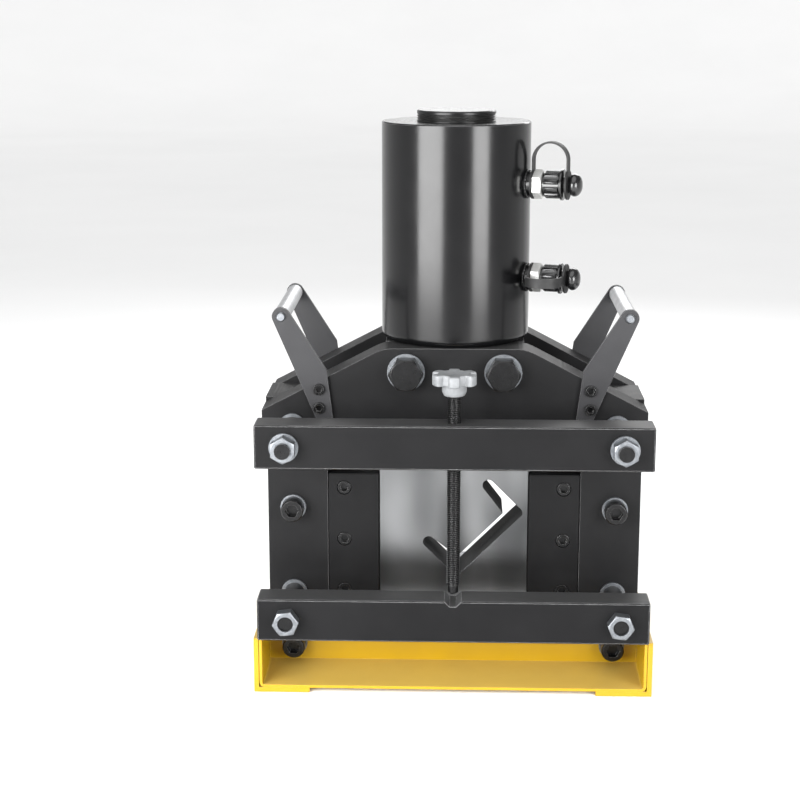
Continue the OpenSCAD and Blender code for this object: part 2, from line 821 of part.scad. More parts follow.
// The barrel's outside: a cylinder with a round lower corner and a bevelled top edge
module barrel_outline() {
    r = barrel_d / 2;
    translate([0, barrel_corner_r]) polygon([
        [0, 0], [r, 0], [r, barrel_h - barrel_corner_r - bevel],
        [r - bevel, barrel_h - barrel_corner_r], [0, barrel_h - barrel_corner_r],
    ]);
    square([r - barrel_corner_r, barrel_corner_r + skin]);
    translate([r - barrel_corner_r, barrel_corner_r]) circle(r = barrel_corner_r);
}

module cylinder_barrel() {
    color("#1c1c1e") seat() difference() {
        union() {
            translate([0, 0, crown_z]) rotate_extrude() barrel_outline();
            translate([0, 0, crown_z - spigot_h]) cylinder(d = spigot_d, h = spigot_h + 1);
            for (z = port_heights)
                along_port(z) translate([0, 0, boss_root]) cylinder(d = boss_d, h = boss_face - boss_root);
        }
        translate([0, 0, bore_z]) cylinder(d = bore_d, h = barrel_h);
        translate([0, 0, plug_z]) cylinder(d = plug_d + 2 * thread_fit, h = barrel_h);
        translate([0, 0, crown_z - far]) cylinder(d = ram_d + 2 * hole_fit, h = far * 2);
        translate([0, 0, bush_z]) cylinder(d = bush_d + 2 * thread_fit, h = barrel_h);
        for (z = port_heights) along_port(z) {
            cylinder(r = port_r, h = barrel_d);
            translate([0, 0, boss_face - shank_len]) cylinder(d = shank_d + 2 * thread_fit, h = far);
        }
    }
}

module end_plug() {
    r = plug_d / 2;
    thread_deep = plug_pitch * 0.45;
    color("#3b3c3e") seat() rotate_extrude() polygon(concat(
        [[0, plug_nose_z], [piston_nut_r, plug_nose_z], [piston_nut_r, plug_z], [r, plug_z],
            [r, barrel_top_z + bevel / 2]],
        thread_points(r, barrel_top_z + bevel / 2, barrel_top_z + plug_rise - bevel,
            plug_pitch, thread_deep),
        [[r, barrel_top_z + plug_rise - bevel], [r - bevel, barrel_top_z + plug_rise],
            [0, barrel_top_z + plug_rise]]
    ));
}

seal_w = 4;
seal_h = 6;
rod_seal_z = bush_z + 18;

module rod_bush() {
    color("#a8824a") seat() difference() {
        translate([0, 0, bush_z]) cylinder(d = bush_d, h = bush_top_z - bush_z);
        translate([0, 0, bush_z - 1]) cylinder(d = ram_d + 2 * running_fit, h = barrel_h);
        translate([0, 0, rod_seal_z]) cylinder(d = ram_d + 2 * seal_w, h = seal_h);
    }
}

module rod_seal() {
    color("#151515") seat() translate([0, 0, rod_seal_z]) difference() {
        cylinder(d = ram_d + 2 * seal_w - 2 * skin, h = seal_h);
        translate([0, 0, -1]) cylinder(d = ram_d + 2 * running_fit, h = seal_h + 2);
    }
}

piston_nut_r = ram_thread_d * 0.85;
piston_seal_z = piston_z + piston_t / 2 - seal_h / 2;

module ram() {
    color("#c4c6c9") seat() difference() {
        union() {
            translate([0, 0, ram_foot_z]) cylinder(d = ram_d, h = piston_z - ram_foot_z);
            translate([0, 0, piston_z - skin])
                cylinder(d = ram_thread_d, h = piston_t + piston_nut_h + skin);
        }
        depth_hole(0, ram_foot_z + ram_seat / 2, ram_pin_d / 2 + thread_fit, -far, far);
    }
}

module piston() {
    color("#8d8f92") seat() difference() {
        translate([0, 0, piston_z]) cylinder(d = bore_d - 2 * running_fit, h = piston_t);
        translate([0, 0, piston_z - 1]) cylinder(d = ram_thread_d + 2 * thread_fit, h = piston_t + 2);
        translate([0, 0, piston_seal_z]) difference() {
            cylinder(d = bore_d + 2, h = seal_h);
            translate([0, 0, -1]) cylinder(d = bore_d - 2 * seal_w, h = seal_h + 2);
        }
    }
}

module piston_seal() {
    color("#151515") seat() translate([0, 0, piston_seal_z]) difference() {
        cylinder(d = bore_d - 2 * running_fit, h = seal_h);
        translate([0, 0, -1]) cylinder(d = bore_d - 2 * seal_w + 2 * skin, h = seal_h + 2);
    }
}

module piston_nut() {
    color("#6a6b6d") seat() translate([0, 0, piston_top_z])
        nut(piston_nut_r * 2 / nut_corner, piston_nut_h, ram_thread_d);
}

// OIL COUPLERS

collar_len = 3;
collar_d = 24;
strap_ring_t = 2;
strap_ring_d = 31;
neck_d = 17;
cap_floor = 3;
hex_start = boss_face + collar_len;
hex_end = hex_start + coupler_hex_len;
nose_end = hex_end + nose_len;
cap_gap = 0.4;
cap_start = hex_end + cap_gap;
cap_end = cap_start + cap_len;
neck_end = cap_end + cap_floor + cap_travel + strap_ring_t + 2 * slide_gap;
cap_ring_start = neck_end - slide_gap - strap_ring_t;
cap_seal_t = 2;
cap_seal_gap = 0.3;
cap_seal_start = nose_end + cap_seal_gap;
cap_bore_end = cap_seal_start + cap_seal_t;
cap_ribs = 10;

// The coupler's metal half: shank, collar, hexagon and threaded nose
module coupler() {
    difference() {
        union() {
            translate([0, 0, boss_face - shank_len + 1]) cylinder(d = shank_d, h = shank_len);
            translate([0, 0, boss_face]) cylinder(d = collar_d, h = collar_len + skin);
            translate([0, 0, hex_start]) hex_head(coupler_af, coupler_hex_len);
            translate([0, 0, hex_end - skin]) cylinder(d = nose_d, h = nose_len + skin);
        }
        translate([0, 0, boss_face - shank_len]) cylinder(r = port_r, h = shank_len + nose_len);
    }
}

module upper_coupler() {
    color("#d3d5d6") seat() along_port(port_heights[0]) coupler();
}

module lower_coupler() {
    color("#d3d5d6") seat() along_port(port_heights[1]) coupler();
}

// The ribbed plastic cap over a coupler's nose, with its round knob
module dust_cap() {
    rib_w = 5;
    skirt_r = cap_d / 2 - 1.4;
    knob_r = cap_knob_d / 2;
    difference() {
        union() {
            translate([0, 0, cap_start]) cylinder(r = skirt_r, h = cap_len + cap_floor);
            for (i = [0 : cap_ribs - 1])
                rotate([0, 0, i * 360 / cap_ribs]) translate([0, -rib_w / 2, cap_start + 1])
                    intersection() {
                        cube([cap_d, rib_w, cap_len - 1]);
                        translate([0, rib_w / 2, 0]) cylinder(d = cap_d, h = cap_len);
                    }
            translate([0, 0, cap_end]) cylinder(r = cap_d / 2 + 1.8, h = cap_floor);
            translate([0, 0, cap_end]) cylinder(d = neck_d, h = neck_end - cap_end + skin);
            translate([0, 0, neck_end]) rotate_extrude() intersection() {
                translate([0, -far]) square(far * 2);
                union() {
                    square([knob_r, cap_knob_len - knob_r * 0.8]);
                    translate([0, cap_knob_len - knob_r * 0.8]) scale([1, 0.8]) intersection() {
                        circle(r = knob_r);
                        square(knob_r);
                    }
                }
            }
        }
        translate([0, 0, cap_start - 1])
            cylinder(d = nose_d + 2 * running_fit, h = cap_bore_end - cap_start + 1);
    }
}

// The flat rubber ring between the cap's bottom and the coupler's nose
module cap_seal() {
    translate([0, 0, cap_seal_start]) difference() {
        cylinder(d = nose_d - 2 * cap_seal_gap, h = cap_seal_t);
        translate([0, 0, -1]) cylinder(r = port_r, h = cap_seal_t + 2);
    }
}

module upper_cap_seal() {
    color("#101010") seat() along_port(port_heights[0]) cap_seal();
}

module lower_cap_seal() {
    color("#101010") seat() along_port(port_heights[1]) cap_seal();
}

module upper_dust_cap() {
    color("#17181a") seat() along_port(port_heights[0]) dust_cap();
}

module lower_dust_cap() {
    color("#17181a") seat() along_port(port_heights[1]) dust_cap();
}

// The strap that holds a cap to its coupler: two rings and a flat loop between them
module cap_strap() {
    ring_gap = 0.3;
    left_z = boss_face + (collar_len - strap_ring_t) / 2;
    right_z = cap_ring_start;
    loop_r = (right_z + strap_ring_t - left_z) / 2;
    leg = strap_rise - loop_r;
    middle = left_z + loop_r;
    difference() {
        union() {
            translate([0, 0, left_z]) cylinder(d = strap_ring_d, h = strap_ring_t);
            translate([0, 0, right_z]) cylinder(d = strap_ring_d, h = strap_ring_t);
            translate([0, strap_w / 2, 0]) rotate([90, 0, 0]) linear_extrude(strap_w) {
                translate([-leg, left_z]) square([leg, strap_t]);
                translate([-leg, right_z + strap_ring_t - strap_t]) square([leg, strap_t]);
                translate([-leg, middle]) difference() {
                    circle(r = loop_r);
                    circle(r = loop_r - strap_t);
                    translate([0, -far / 2]) square(far);
                }
            }
        }
        translate([0, 0, left_z - 1]) cylinder(d = collar_d + 2 * ring_gap, h = strap_ring_t + 2);
        translate([0, 0, right_z - 1]) cylinder(d = neck_d + 2 * ring_gap, h = strap_ring_t + 2);
    }
}

module upper_cap_strap() {
    color("#1a1a1b") seat() along_port(port_heights[0]) cap_strap();
}

module lower_cap_strap() {
    color("#1a1a1b") seat() along_port(port_heights[1]) rotate([0, 0, 90]) cap_strap();
}

// STOCK CLAMP

module clamp_bar(z, h) {
    translate([-bar_len / 2, -bar_front_y, z]) bevel_box([bar_len, bar_t, h], bevel);
}

module upper_clamp_bar() {
    color("#2e2e30") seat() difference() {
        clamp_bar(upper_bar_z, upper_bar_h);
        both_sides()
            depth_hole(column_x, upper_stud_z, stud_d / 2 + hole_fit, -bar_front_y - 1, -bar_back_y + 1);
        translate([0, -bar_mid_y, upper_bar_z - 1])
            cylinder(d = clamp_screw_d + 2 * running_fit, h = upper_bar_h + 2);
    }
}

module lower_clamp_bar() {
    color("#2e2e30") seat() difference() {
        clamp_bar(lower_bar_z, lower_bar_h);
        both_sides()
            depth_hole(column_x, lower_stud_z, stud_d / 2 + hole_fit, -bar_front_y - 1, -bar_back_y + 1);
        upright(-bar_front_y - 1, -bar_back_y + 1) translate([0, lower_bar_top_z]) polygon([
            [-notch_w / 2, 1], [-notch_w / 2, 0], [-notch_floor_w / 2, -notch_deep],
            [notch_floor_w / 2, -notch_deep], [notch_w / 2, 0], [notch_w / 2, 1],
        ]);
    }
}

// Four threaded studs: the upper ones end outside their nuts, the lower ones inside
module clamp_studs() {
    inner_y = face_y - stud_deep + 1;
    lower_end_y = bar_front_y + stud_nut_h - stud_stick;
    color("#4a4a4c") seat() both_sides() {
        depth_hole(column_x, upper_stud_z, stud_d / 2, -front_reach, -inner_y);
        depth_hole(column_x, lower_stud_z, stud_d / 2, -lower_end_y, -inner_y);
    }
}

module stud_sleeves() {
    sleeve_start_y = face_y + washer_t;
    color("#38383a") seat() both_sides()
        for (z = [upper_stud_z, lower_stud_z])
            difference() {
                depth_hole(column_x, z, sleeve_d / 2, -bar_back_y, -sleeve_start_y);
                depth_hole(column_x, z, stud_d / 2 + hole_fit, -bar_back_y - 1, -sleeve_start_y + 1);
            }
}

module stud_nuts() {
    color("#cfd1d2") seat() both_sides() {
        facing_front(column_x, -bar_front_y - washer_t, upper_stud_z)
            rotate(upper_nut_turn) nut(stud_nut_af, stud_nut_h, stud_d);
        facing_front(column_x, -bar_front_y, lower_stud_z)
            rotate(lower_nut_turn) nut(stud_nut_af, stud_nut_h, stud_d);
    }
}

// Washers under the upper nuts and behind all four sleeves
module stud_washers() {
    color("#c9cbcd") seat() both_sides() {
        facing_front(column_x, -bar_front_y, upper_stud_z) washer(washer_d, washer_t, stud_d);
        for (z = [upper_stud_z, lower_stud_z])
            facing_front(column_x, -face_y, z) washer(screw_washer_d, washer_t, stud_d);
    }
}

tip_seat = 6;
tip_ball_r = 3.5;
upper_nut_turn = 30;
lower_nut_turn = -7;

// The clamp's threaded rod, with a turned pin that the swivel tip sits on
module clamp_screw() {
    color("#37383a") seat() translate([0, -bar_mid_y, 0]) {
        translate([0, 0, tip_z + tip_h]) cylinder(d = clamp_screw_d, h = hub_z + knob_hub_h - tip_z - tip_h);
        translate([0, 0, tip_z + tip_h - tip_seat]) cylinder(r = tip_ball_r, h = tip_seat + skin);
    }
}

// The tip that presses on the stock and stays still while the rod turns
module swivel_tip() {
    edge = tip_d * 0.12;
    color("#9a9c9e") seat() translate([0, -bar_mid_y, tip_z]) difference() {
        rotate_extrude() polygon([
            [0, 0], [tip_d / 2 - edge, 0], [tip_d / 2, edge], [tip_d / 2, tip_h - slide_gap],
            [0, tip_h - slide_gap],
        ]);
        translate([0, 0, tip_h - tip_seat - slide_gap])
            cylinder(r = tip_ball_r + running_fit, h = tip_seat + 1);
    }
}

module star_knob() {
    lobe_r = knob_lobe_w / 2;
    reach = knob_d / 2 - lobe_r;
    core_r = knob_d * 0.33;
    hub_foot_r = knob_hub_d / 2 * 0.84;
    color("#b9bbbd") seat() translate([0, -bar_mid_y, hub_z]) difference() {
        union() {
            rotate_extrude() polygon([
                [0, 0], [hub_foot_r, 0], [knob_hub_d / 2, knob_hub_h * 0.35],
                [knob_hub_d / 2, knob_hub_h + 1], [0, knob_hub_h + 1],
            ]);
            translate([0, 0, knob_hub_h]) linear_extrude(knob_h) {
                circle(r = core_r);
                for (i = [0 : knob_lobes - 1])
                    rotate(i * 360 / knob_lobes - 90) {
                        translate([0, -lobe_r]) square([reach, knob_lobe_w]);
                        translate([reach, 0]) circle(r = lobe_r);
                    }
            }
        }
        translate([0, 0, -1]) cylinder(d = clamp_screw_d + 2 * thread_fit, h = knob_hub_h + 1);
    }
}

// CARRYING HANDLES

arm_foot_h = arm_screw_h - 11;
arm_foot_in = arm_screw_x - 14.5;
arm_foot_out = arm_screw_x + 3.5;
arm_elbow = [arm_screw_x - 8, arm_screw_h + elbow_rise];
arm_end = [grip_x, grip_h];

// Where a line from point p touches a circle round c, on the side that s names
function touch(p, c, r, s) =
    let (way = atan2(p.y - c.y, p.x - c.x), swing = s * acos(r / norm(p - c)))
    c + r * [cos(way + swing), sin(way + swing)];

// One flat arm of the right handle, drawn as width and height
module arm_outline() {
    outer_foot = [arm_foot_out, arm_foot_h];
    polygon([
        [arm_foot_in, arm_foot_h], outer_foot, touch(outer_foot, arm_end, arm_end_r, 1),
        arm_end, touch(arm_elbow, arm_end, arm_end_r, -1), arm_elbow,
    ]);
    translate(arm_end) circle(r = arm_end_r);
}

grip_screw_d = 6;
grip_screw_head_d = 10;
grip_screw_head_h = 3;
grip_screw_deep = 20;

// The right handle's arm on the plate's outer face; side is -1 in front and 1 behind
module handle_arm(side) {
    y0 = side < 0 ? -face_y - arm_t : face_y;
    difference() {
        upright(y0, y0 + arm_t) translate([0, plate_z]) arm_outline();
        for (i = [0, 1])
            depth_hole(arm_screw_x, plate_z + arm_screw_h + i * arm_screw_pitch,
                arm_screw_d / 2 + hole_fit, y0 - 1, y0 + arm_t + 1);
        depth_hole(grip_x, grip_z, grip_screw_d / 2 + hole_fit, y0 - 1, y0 + arm_t + 1);
    }
}

module right_front_arm() {
    color("#3a3a3c") seat() handle_arm(-1);
}

module right_rear_arm() {
    color("#3a3a3c") seat() handle_arm(1);
}

module left_front_arm() {
    color("#3a3a3c") seat() mirror([1, 0, 0]) handle_arm(-1);
}

module left_rear_arm() {
    color("#3a3a3c") seat() mirror([1, 0, 0]) handle_arm(1);
}

module grip() {
    difference() {
        depth_hole(grip_x, grip_z, grip_d / 2, -face_y, face_y);
        for (y = [-face_y - 1, face_y - grip_screw_deep])
            depth_hole(grip_x, grip_z, grip_screw_d / 2 + thread_fit, y, y + grip_screw_deep + 1);
    }
}

module right_grip() {
    color("#c2c4c6") seat() grip();
}

module left_grip() {
    color("#c2c4c6") seat() mirror([1, 0, 0]) grip();
}

// A low round head with its shank, for the grips' ends
module round_head_screw() {
    r = grip_screw_head_d / 2;
    rotate_extrude() polygon([
        [0, -arm_t - grip_screw_deep + 2], [grip_screw_d / 2, -arm_t - grip_screw_deep + 2],
        [grip_screw_d / 2, 0], [r, 0], [r, grip_screw_head_h * 0.4], [r * 0.75, grip_screw_head_h],
        [0, grip_screw_head_h],
    ]);
}

module grip_screws() {
    color("#e2e3e4") seat() both_sides() {
        facing_front(grip_x, -face_y - arm_t, grip_z) round_head_screw();
        facing_rear(grip_x, face_y + arm_t, grip_z) round_head_screw();
    }
}

module arm_screws() {
    length = arm_t + arm_screw_deep - 1;
    color("#4b4b4d") seat() both_sides()
        for (i = [0, 1]) {
            z = plate_z + arm_screw_h + i * arm_screw_pitch;
            facing_front(arm_screw_x, -face_y - arm_t, z) socket_screw(arm_screw_d, length, arm_screw_d / 2);
            facing_rear(arm_screw_x, face_y + arm_t, z) socket_screw(arm_screw_d, length, arm_screw_d / 2);
        }
}

// BASE

tray_half_w = base_w / 2 - foot_t - rail_gap;
fold_turns = [-90, -45, 0];

// A tray's fold on the right at radius r, as points from the floor up to the side
function fold_points(r) = [
    for (turn = fold_turns) [tray_half_w - fold_r + r * cos(turn), fold_r + r * sin(turn)]
];

// A folded tray on the front plate: a floor between the angle rails, two sides and a rear wall
module tray() {
    outside = concat(fold_points(fold_r), [[tray_half_w, tray_wall_h]]);
    inside = concat(fold_points(fold_r - tray_t), [[tray_half_w - tray_t, tray_wall_h + 1]]);
    difference() {
        upright(-face_y - tray_reach, -face_y) translate([0, foot_t]) polygon(both_halves(outside));
        upright(-face_y - tray_reach - 1, -face_y - tray_t)
            translate([0, foot_t]) polygon(both_halves(inside));
        both_sides()
            depth_hole(column_x, tray_screw_z, frame_screw_d / 2 + hole_fit,
                -face_y - tray_t - 1, -face_y + 1);
    }
}

module front_tray() {
    color("#f2b51d") seat() tray();
}

module rear_tray() {
    color("#f2b51d") seat() mirror([0, 1, 0]) tray();
}

// The angle rail on the right: a foot under the plates and trays, and a wall up their side
module angle_rail() {
    translate([base_w / 2 - foot_w, -rear_reach, 0]) cube([foot_w, 2 * rear_reach, foot_t]);
    translate([base_w / 2 - foot_t, -rear_reach, 0])
        cube([foot_t, 2 * rear_reach, foot_t + tray_wall_h]);
}

module right_angle_rail() {
    color("#e8aa18") seat() angle_rail();
}

module left_angle_rail() {
    color("#e8aa18") seat() mirror([1, 0, 0]) angle_rail();
}

module tray_screws() {
    y = face_y + tray_t + washer_t;
    color("#2c2c2e") seat() both_sides() {
        facing_front(column_x, -y, tray_screw_z) socket_screw(frame_screw_d, frame_screw_len, frame_screw_d);
        facing_rear(column_x, y, tray_screw_z) socket_screw(frame_screw_d, frame_screw_len, frame_screw_d);
    }
}

module tray_screw_washers() {
    y = face_y + tray_t;
    color("#c9cbcd") seat() both_sides() {
        facing_front(column_x, -y, tray_screw_z) washer(screw_washer_d, washer_t, frame_screw_d);
        facing_rear(column_x, y, tray_screw_z) washer(screw_washer_d, washer_t, frame_screw_d);
    }
}

front_plate();
rear_plate();
left_spacer();
right_spacer();
crosshead();
crosshead_bolts();
crosshead_washers();
crosshead_nuts();
frame_screws();
frame_screw_washers();
fixed_blade();
left_gib_strip();
right_gib_strip();
gib_screws();
moving_blade();
blade_carrier();
blade_screws();
ram_pin();
cylinder_barrel();
end_plug();
rod_bush();
rod_seal();
ram();
piston();
piston_seal();
piston_nut();
upper_coupler();
lower_coupler();
upper_dust_cap();
lower_dust_cap();
upper_cap_seal();
lower_cap_seal();
upper_cap_strap();
lower_cap_strap();
upper_clamp_bar();
lower_clamp_bar();
clamp_studs();
stud_sleeves();
stud_nuts();
stud_washers();
clamp_screw();
star_knob();
swivel_tip();
left_front_arm();
left_rear_arm();
right_front_arm();
right_rear_arm();
left_grip();
right_grip();
grip_screws();
arm_screws();
front_tray();
rear_tray();
left_angle_rail();
right_angle_rail();
tray_screws();
tray_screw_washers();
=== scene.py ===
"""Looks of a hydraulic channel cutter, drawn over its packed construction model.

The plates, bars, blades and fasteners keep the shapes of the construction model and get their
finishes here. The clamp screw, the star knob, the dust caps and the welds round the oil ports are
made here, because their threads, rounded lobes and ribs are finer than that model holds.
"""

import logging
import math
from collections.abc import Callable, Sequence
from dataclasses import dataclass
from enum import Enum
from typing import ClassVar

import bpy
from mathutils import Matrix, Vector


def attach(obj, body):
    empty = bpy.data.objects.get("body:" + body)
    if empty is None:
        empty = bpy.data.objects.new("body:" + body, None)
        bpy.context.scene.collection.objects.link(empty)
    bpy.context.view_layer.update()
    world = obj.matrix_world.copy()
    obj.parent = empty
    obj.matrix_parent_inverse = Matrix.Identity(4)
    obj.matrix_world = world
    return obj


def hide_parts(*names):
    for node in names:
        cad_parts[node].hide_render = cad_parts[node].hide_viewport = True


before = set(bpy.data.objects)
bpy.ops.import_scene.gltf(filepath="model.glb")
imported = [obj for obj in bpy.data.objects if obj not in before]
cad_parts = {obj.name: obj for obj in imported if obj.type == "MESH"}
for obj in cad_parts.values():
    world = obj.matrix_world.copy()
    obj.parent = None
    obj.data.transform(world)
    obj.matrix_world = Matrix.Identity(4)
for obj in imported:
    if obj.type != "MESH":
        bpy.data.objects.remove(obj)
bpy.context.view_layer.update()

MM = 0.001
FULL_TURN = 2 * math.pi

log = logging.getLogger("channel_cutter")

Setting = float | tuple[float, ...] | bpy.types.NodeSocket
Radius = Callable[[float], float]

# Places of a mix node's sockets. It has one pair of inputs for numbers and one for colours.
MIX_SHARE = 0
FIRST_NUMBER = 2
SECOND_NUMBER = 3
FIRST_COLOUR = 6
SECOND_COLOUR = 7
MIXED_COLOUR = 2


def linear(hex_colour: str) -> tuple[float, float, float, float]:
    """Turn an sRGB hex colour into the linear colour that a shader takes.

    Args:
        hex_colour: Six hex digits after a hash sign.

    Returns:
        Linear red, green, blue and an alpha of one.
    """
    parts = [int(hex_colour[i:i + 2], 16) / 255 for i in (1, 3, 5)]
    bent = [p / 12.92 if p <= 0.04045 else ((p + 0.055) / 1.055) ** 2.4 for p in parts]
    return (bent[0], bent[1], bent[2], 1.0)


def per_mm(size: float) -> float:
    """Return the pattern scale whose features are the given number of millimetres across."""
    return 1 / (size * MM)


def add_node(
    tree: bpy.types.NodeTree,
    kind: str,
    inputs: dict[str | int, Setting] | None = None,
    **settings: str | bool | int | float,
) -> bpy.types.Node:
    """Add one node with its settings and links.

    Args:
        tree: Node tree that the node joins.
        kind: Name of the node's type.
        inputs: Value or linked socket for each input, by its name or place.
        **settings: Properties of the node itself.

    Returns:
        The new node.
    """
    node = tree.nodes.new(kind)
    for name, value in settings.items():
        setattr(node, name, value)
    for name, value in (inputs or {}).items():
        if isinstance(value, bpy.types.NodeSocket):
            tree.links.new(value, node.inputs[name])
        else:
            node.inputs[name].default_value = value
    return node


@dataclass(frozen=True)
class Finish:
    """A real surface finish, with two tones, a fine relief and softly rounded edges.

    The sizes are real millimetres. The stretch draws the relief out along an axis: a machined
    face has its marks many times longer than they are wide. The last values are shared by all
    finishes: how broken up the patches, chips and wiped marks are, and where each one fades.
    """

    name: str
    slot: str
    colour: str
    second_colour: str
    patch_mm: float
    roughness: float
    roughness_spread: float
    grain_mm: float
    relief_mm: float
    edge_mm: float = 0.5
    patch_detail: float = 5.0
    metallic: float = 0.0
    ior: float = 1.5
    specular_level: float = 0.5
    coat: float = 0.0
    coat_roughness: float = 0.03
    worn_colour: str = ""
    wear: float = 0.0
    # Pale dust on level faces, partly painted light: tops made paler as light falls from above.
    dust_and_top_light_colour: str = ""
    dust: float = 0.0
    stretch: tuple[float, float, float] = (1.0, 1.0, 1.0)

    bevel_samples: ClassVar[int] = 4
    patch_break: ClassVar[float] = 0.6
    patch_range: ClassVar[tuple[float, float]] = (0.32, 0.68)
    dust_and_top_light_slope: ClassVar[tuple[float, float]] = (0.8, 0.98)
    chip_mm: ClassVar[float] = 9.0
    chip_detail: ClassVar[float] = 8.0
    chip_break: ClassVar[float] = 0.7
    chip_share: ClassVar[float] = 0.12
    wear_range: ClassVar[tuple[float, float]] = (1.03, 0.9)
    wipe_share: ClassVar[float] = 0.4
    wipe_more_detail: ClassVar[float] = 2.0
    wipe_break: ClassVar[float] = 0.65
    wipe_swirl: ClassVar[float] = 0.6
    wipe_range: ClassVar[tuple[float, float]] = (0.25, 0.75)
    grain_detail: ClassVar[float] = 3.0

    def material(self) -> bpy.types.Material:
        """Return this finish's material, which is made when it is first asked for."""
        return bpy.data.materials.get(self.name) or self.build()

    def build(self) -> bpy.types.Material:
        """Make the material.

        Returns:
            The material with its whole node tree.
        """
        material = bpy.data.materials.new(self.name)
        material.use_nodes = True
        material.diffuse_color = linear(self.colour)
        tree = material.node_tree
        tree.nodes.clear()
        place = add_node(tree, "ShaderNodeTexCoord").outputs["Object"]
        drawn_out = add_node(
            tree, "ShaderNodeMapping", {"Vector": place, "Scale": self.stretch}
        ).outputs["Vector"]
        rounded = add_node(
            tree,
            "ShaderNodeBevel",
            {"Radius": self.edge_mm * MM},
            samples=self.bevel_samples,
        ).outputs["Normal"]
        shader = add_node(
            tree,
            "ShaderNodeBsdfPrincipled",
            {
                "Base Color": self.tone(tree, place, rounded),
                "Metallic": self.metal(tree),
                "Roughness": self.sheen(tree, place),
                "IOR": self.ior,
                "Specular IOR Level": self.specular_level,
                "Coat Weight": self.coat,
                "Coat Roughness": self.coat_roughness,
                "Normal": self.relief(tree, place, drawn_out, rounded),
            },
        )
        add_node(tree, "ShaderNodeOutputMaterial", {"Surface": shader.outputs["BSDF"]})
        return material

    def metal(self, tree: bpy.types.NodeTree) -> float | bpy.types.NodeSocket:
        """Return how far the surface is bare metal, the same all over unless a finish differs."""
        return self.metallic

    def tone(
        self,
        tree: bpy.types.NodeTree,
        place: bpy.types.NodeSocket,
        rounded: bpy.types.NodeSocket,
    ) -> bpy.types.NodeSocket:
        """Blend the two tones in soft patches, and let worn edges show what is underneath.

        Args:
            tree: Node tree of the material.
            place: Where on the object a point lies.
            rounded: Normal over the rounded edges.

        Returns:
            The colour.
        """
        patches = add_node(
            tree,
            "ShaderNodeTexNoise",
            {
                "Vector": place,
                "Scale": per_mm(self.patch_mm),
                "Detail": self.patch_detail,
                "Roughness": self.patch_break,
            },
        )
        spread = add_node(
            tree,
            "ShaderNodeMapRange",
            {
                "Value": patches.outputs["Fac"],
                "From Min": self.patch_range[0],
                "From Max": self.patch_range[1],
            },
        )
        tones = add_node(
            tree,
            "ShaderNodeMix",
            {
                MIX_SHARE: spread.outputs["Result"],
                FIRST_COLOUR: linear(self.colour),
                SECOND_COLOUR: linear(self.second_colour),
            },
            data_type="RGBA",
        ).outputs[MIXED_COLOUR]
        if self.wear > 0:
            tones = add_node(
                tree,
                "ShaderNodeMix",
                {
                    MIX_SHARE: self.edges(tree, place, rounded),
                    FIRST_COLOUR: tones,
                    SECOND_COLOUR: linear(self.worn_colour),
                },
                data_type="RGBA",
            ).outputs[MIXED_COLOUR]
        # Dust and painted top light: level faces are made paler.
        if self.dust > 0:
            tones = add_node(
                tree,
                "ShaderNodeMix",
                {
                    MIX_SHARE: self.dust_and_painted_top_light(tree),
                    FIRST_COLOUR: tones,
                    SECOND_COLOUR: linear(self.dust_and_top_light_colour),
                },
                data_type="RGBA",
            ).outputs[MIXED_COLOUR]
        return tones

    def dust_and_painted_top_light(self, tree: bpy.types.NodeTree) -> bpy.types.NodeSocket:
        """Mark faces that look up, where fine dust and filings settle and painted top light falls.

        Args:
            tree: Node tree of the material.

        Returns:
            A mask of the finish's dust and painted top light on level faces, zero elsewhere.
        """
        flat = add_node(tree, "ShaderNodeNewGeometry").outputs["True Normal"]
        ways = add_node(tree, "ShaderNodeSeparateXYZ", {"Vector": flat})
        return add_node(
            tree,
            "ShaderNodeMapRange",
            {
                "Value": ways.outputs["Z"],
                "From Min": self.dust_and_top_light_slope[0],
                "From Max": self.dust_and_top_light_slope[1],
                "To Max": self.dust,
            },
        ).outputs["Result"]

    def edges(
        self,
        tree: bpy.types.NodeTree,
        place: bpy.types.NodeSocket,
        rounded: bpy.types.NodeSocket,
    ) -> bpy.types.NodeSocket:
        """Mark the sharp edges, broken up as handling breaks a coat.

        Args:
            tree: Node tree of the material.
            place: Where on the object a point lies.
            rounded: Normal over the rounded edges.

        Returns:
            A mask that is one on bare edges.
        """
        flat = add_node(tree, "ShaderNodeNewGeometry").outputs["Normal"]
        turned = add_node(
            tree, "ShaderNodeVectorMath", {0: flat, 1: rounded}, operation="DOT_PRODUCT"
        ).outputs["Value"]
        chips = add_node(
            tree,
            "ShaderNodeTexNoise",
            {
                "Vector": place,
                "Scale": per_mm(self.chip_mm),
                "Detail": self.chip_detail,
                "Roughness": self.chip_break,
            },
        ).outputs["Fac"]
        kept = add_node(
            tree,
            "ShaderNodeMath",
            {0: chips, 1: self.chip_share, 2: turned},
            operation="MULTIPLY_ADD",
        ).outputs[0]
        return add_node(
            tree,
            "ShaderNodeMapRange",
            {
                "Value": kept,
                "From Min": self.wear_range[0],
                "From Max": self.wear_range[1],
                "To Min": 0.0,
                "To Max": self.wear,
            },
        ).outputs["Result"]

    def sheen(
        self, tree: bpy.types.NodeTree, place: bpy.types.NodeSocket
    ) -> bpy.types.NodeSocket:
        """Vary the roughness, as fingers, oil and dust do.

        Args:
            tree: Node tree of the material.
            place: Where on the object a point lies.

        Returns:
            The roughness.
        """
        wipes = add_node(
            tree,
            "ShaderNodeTexNoise",
            {
                "Vector": place,
                "Scale": per_mm(self.patch_mm * self.wipe_share),
                "Detail": self.patch_detail + self.wipe_more_detail,
                "Roughness": self.wipe_break,
                "Distortion": self.wipe_swirl,
            },
        )
        return add_node(
            tree,
            "ShaderNodeMapRange",
            {
                "Value": wipes.outputs["Fac"],
                "From Min": self.wipe_range[0],
                "From Max": self.wipe_range[1],
                "To Min": self.roughness - self.roughness_spread,
                "To Max": self.roughness + self.roughness_spread,
            },
        ).outputs["Result"]

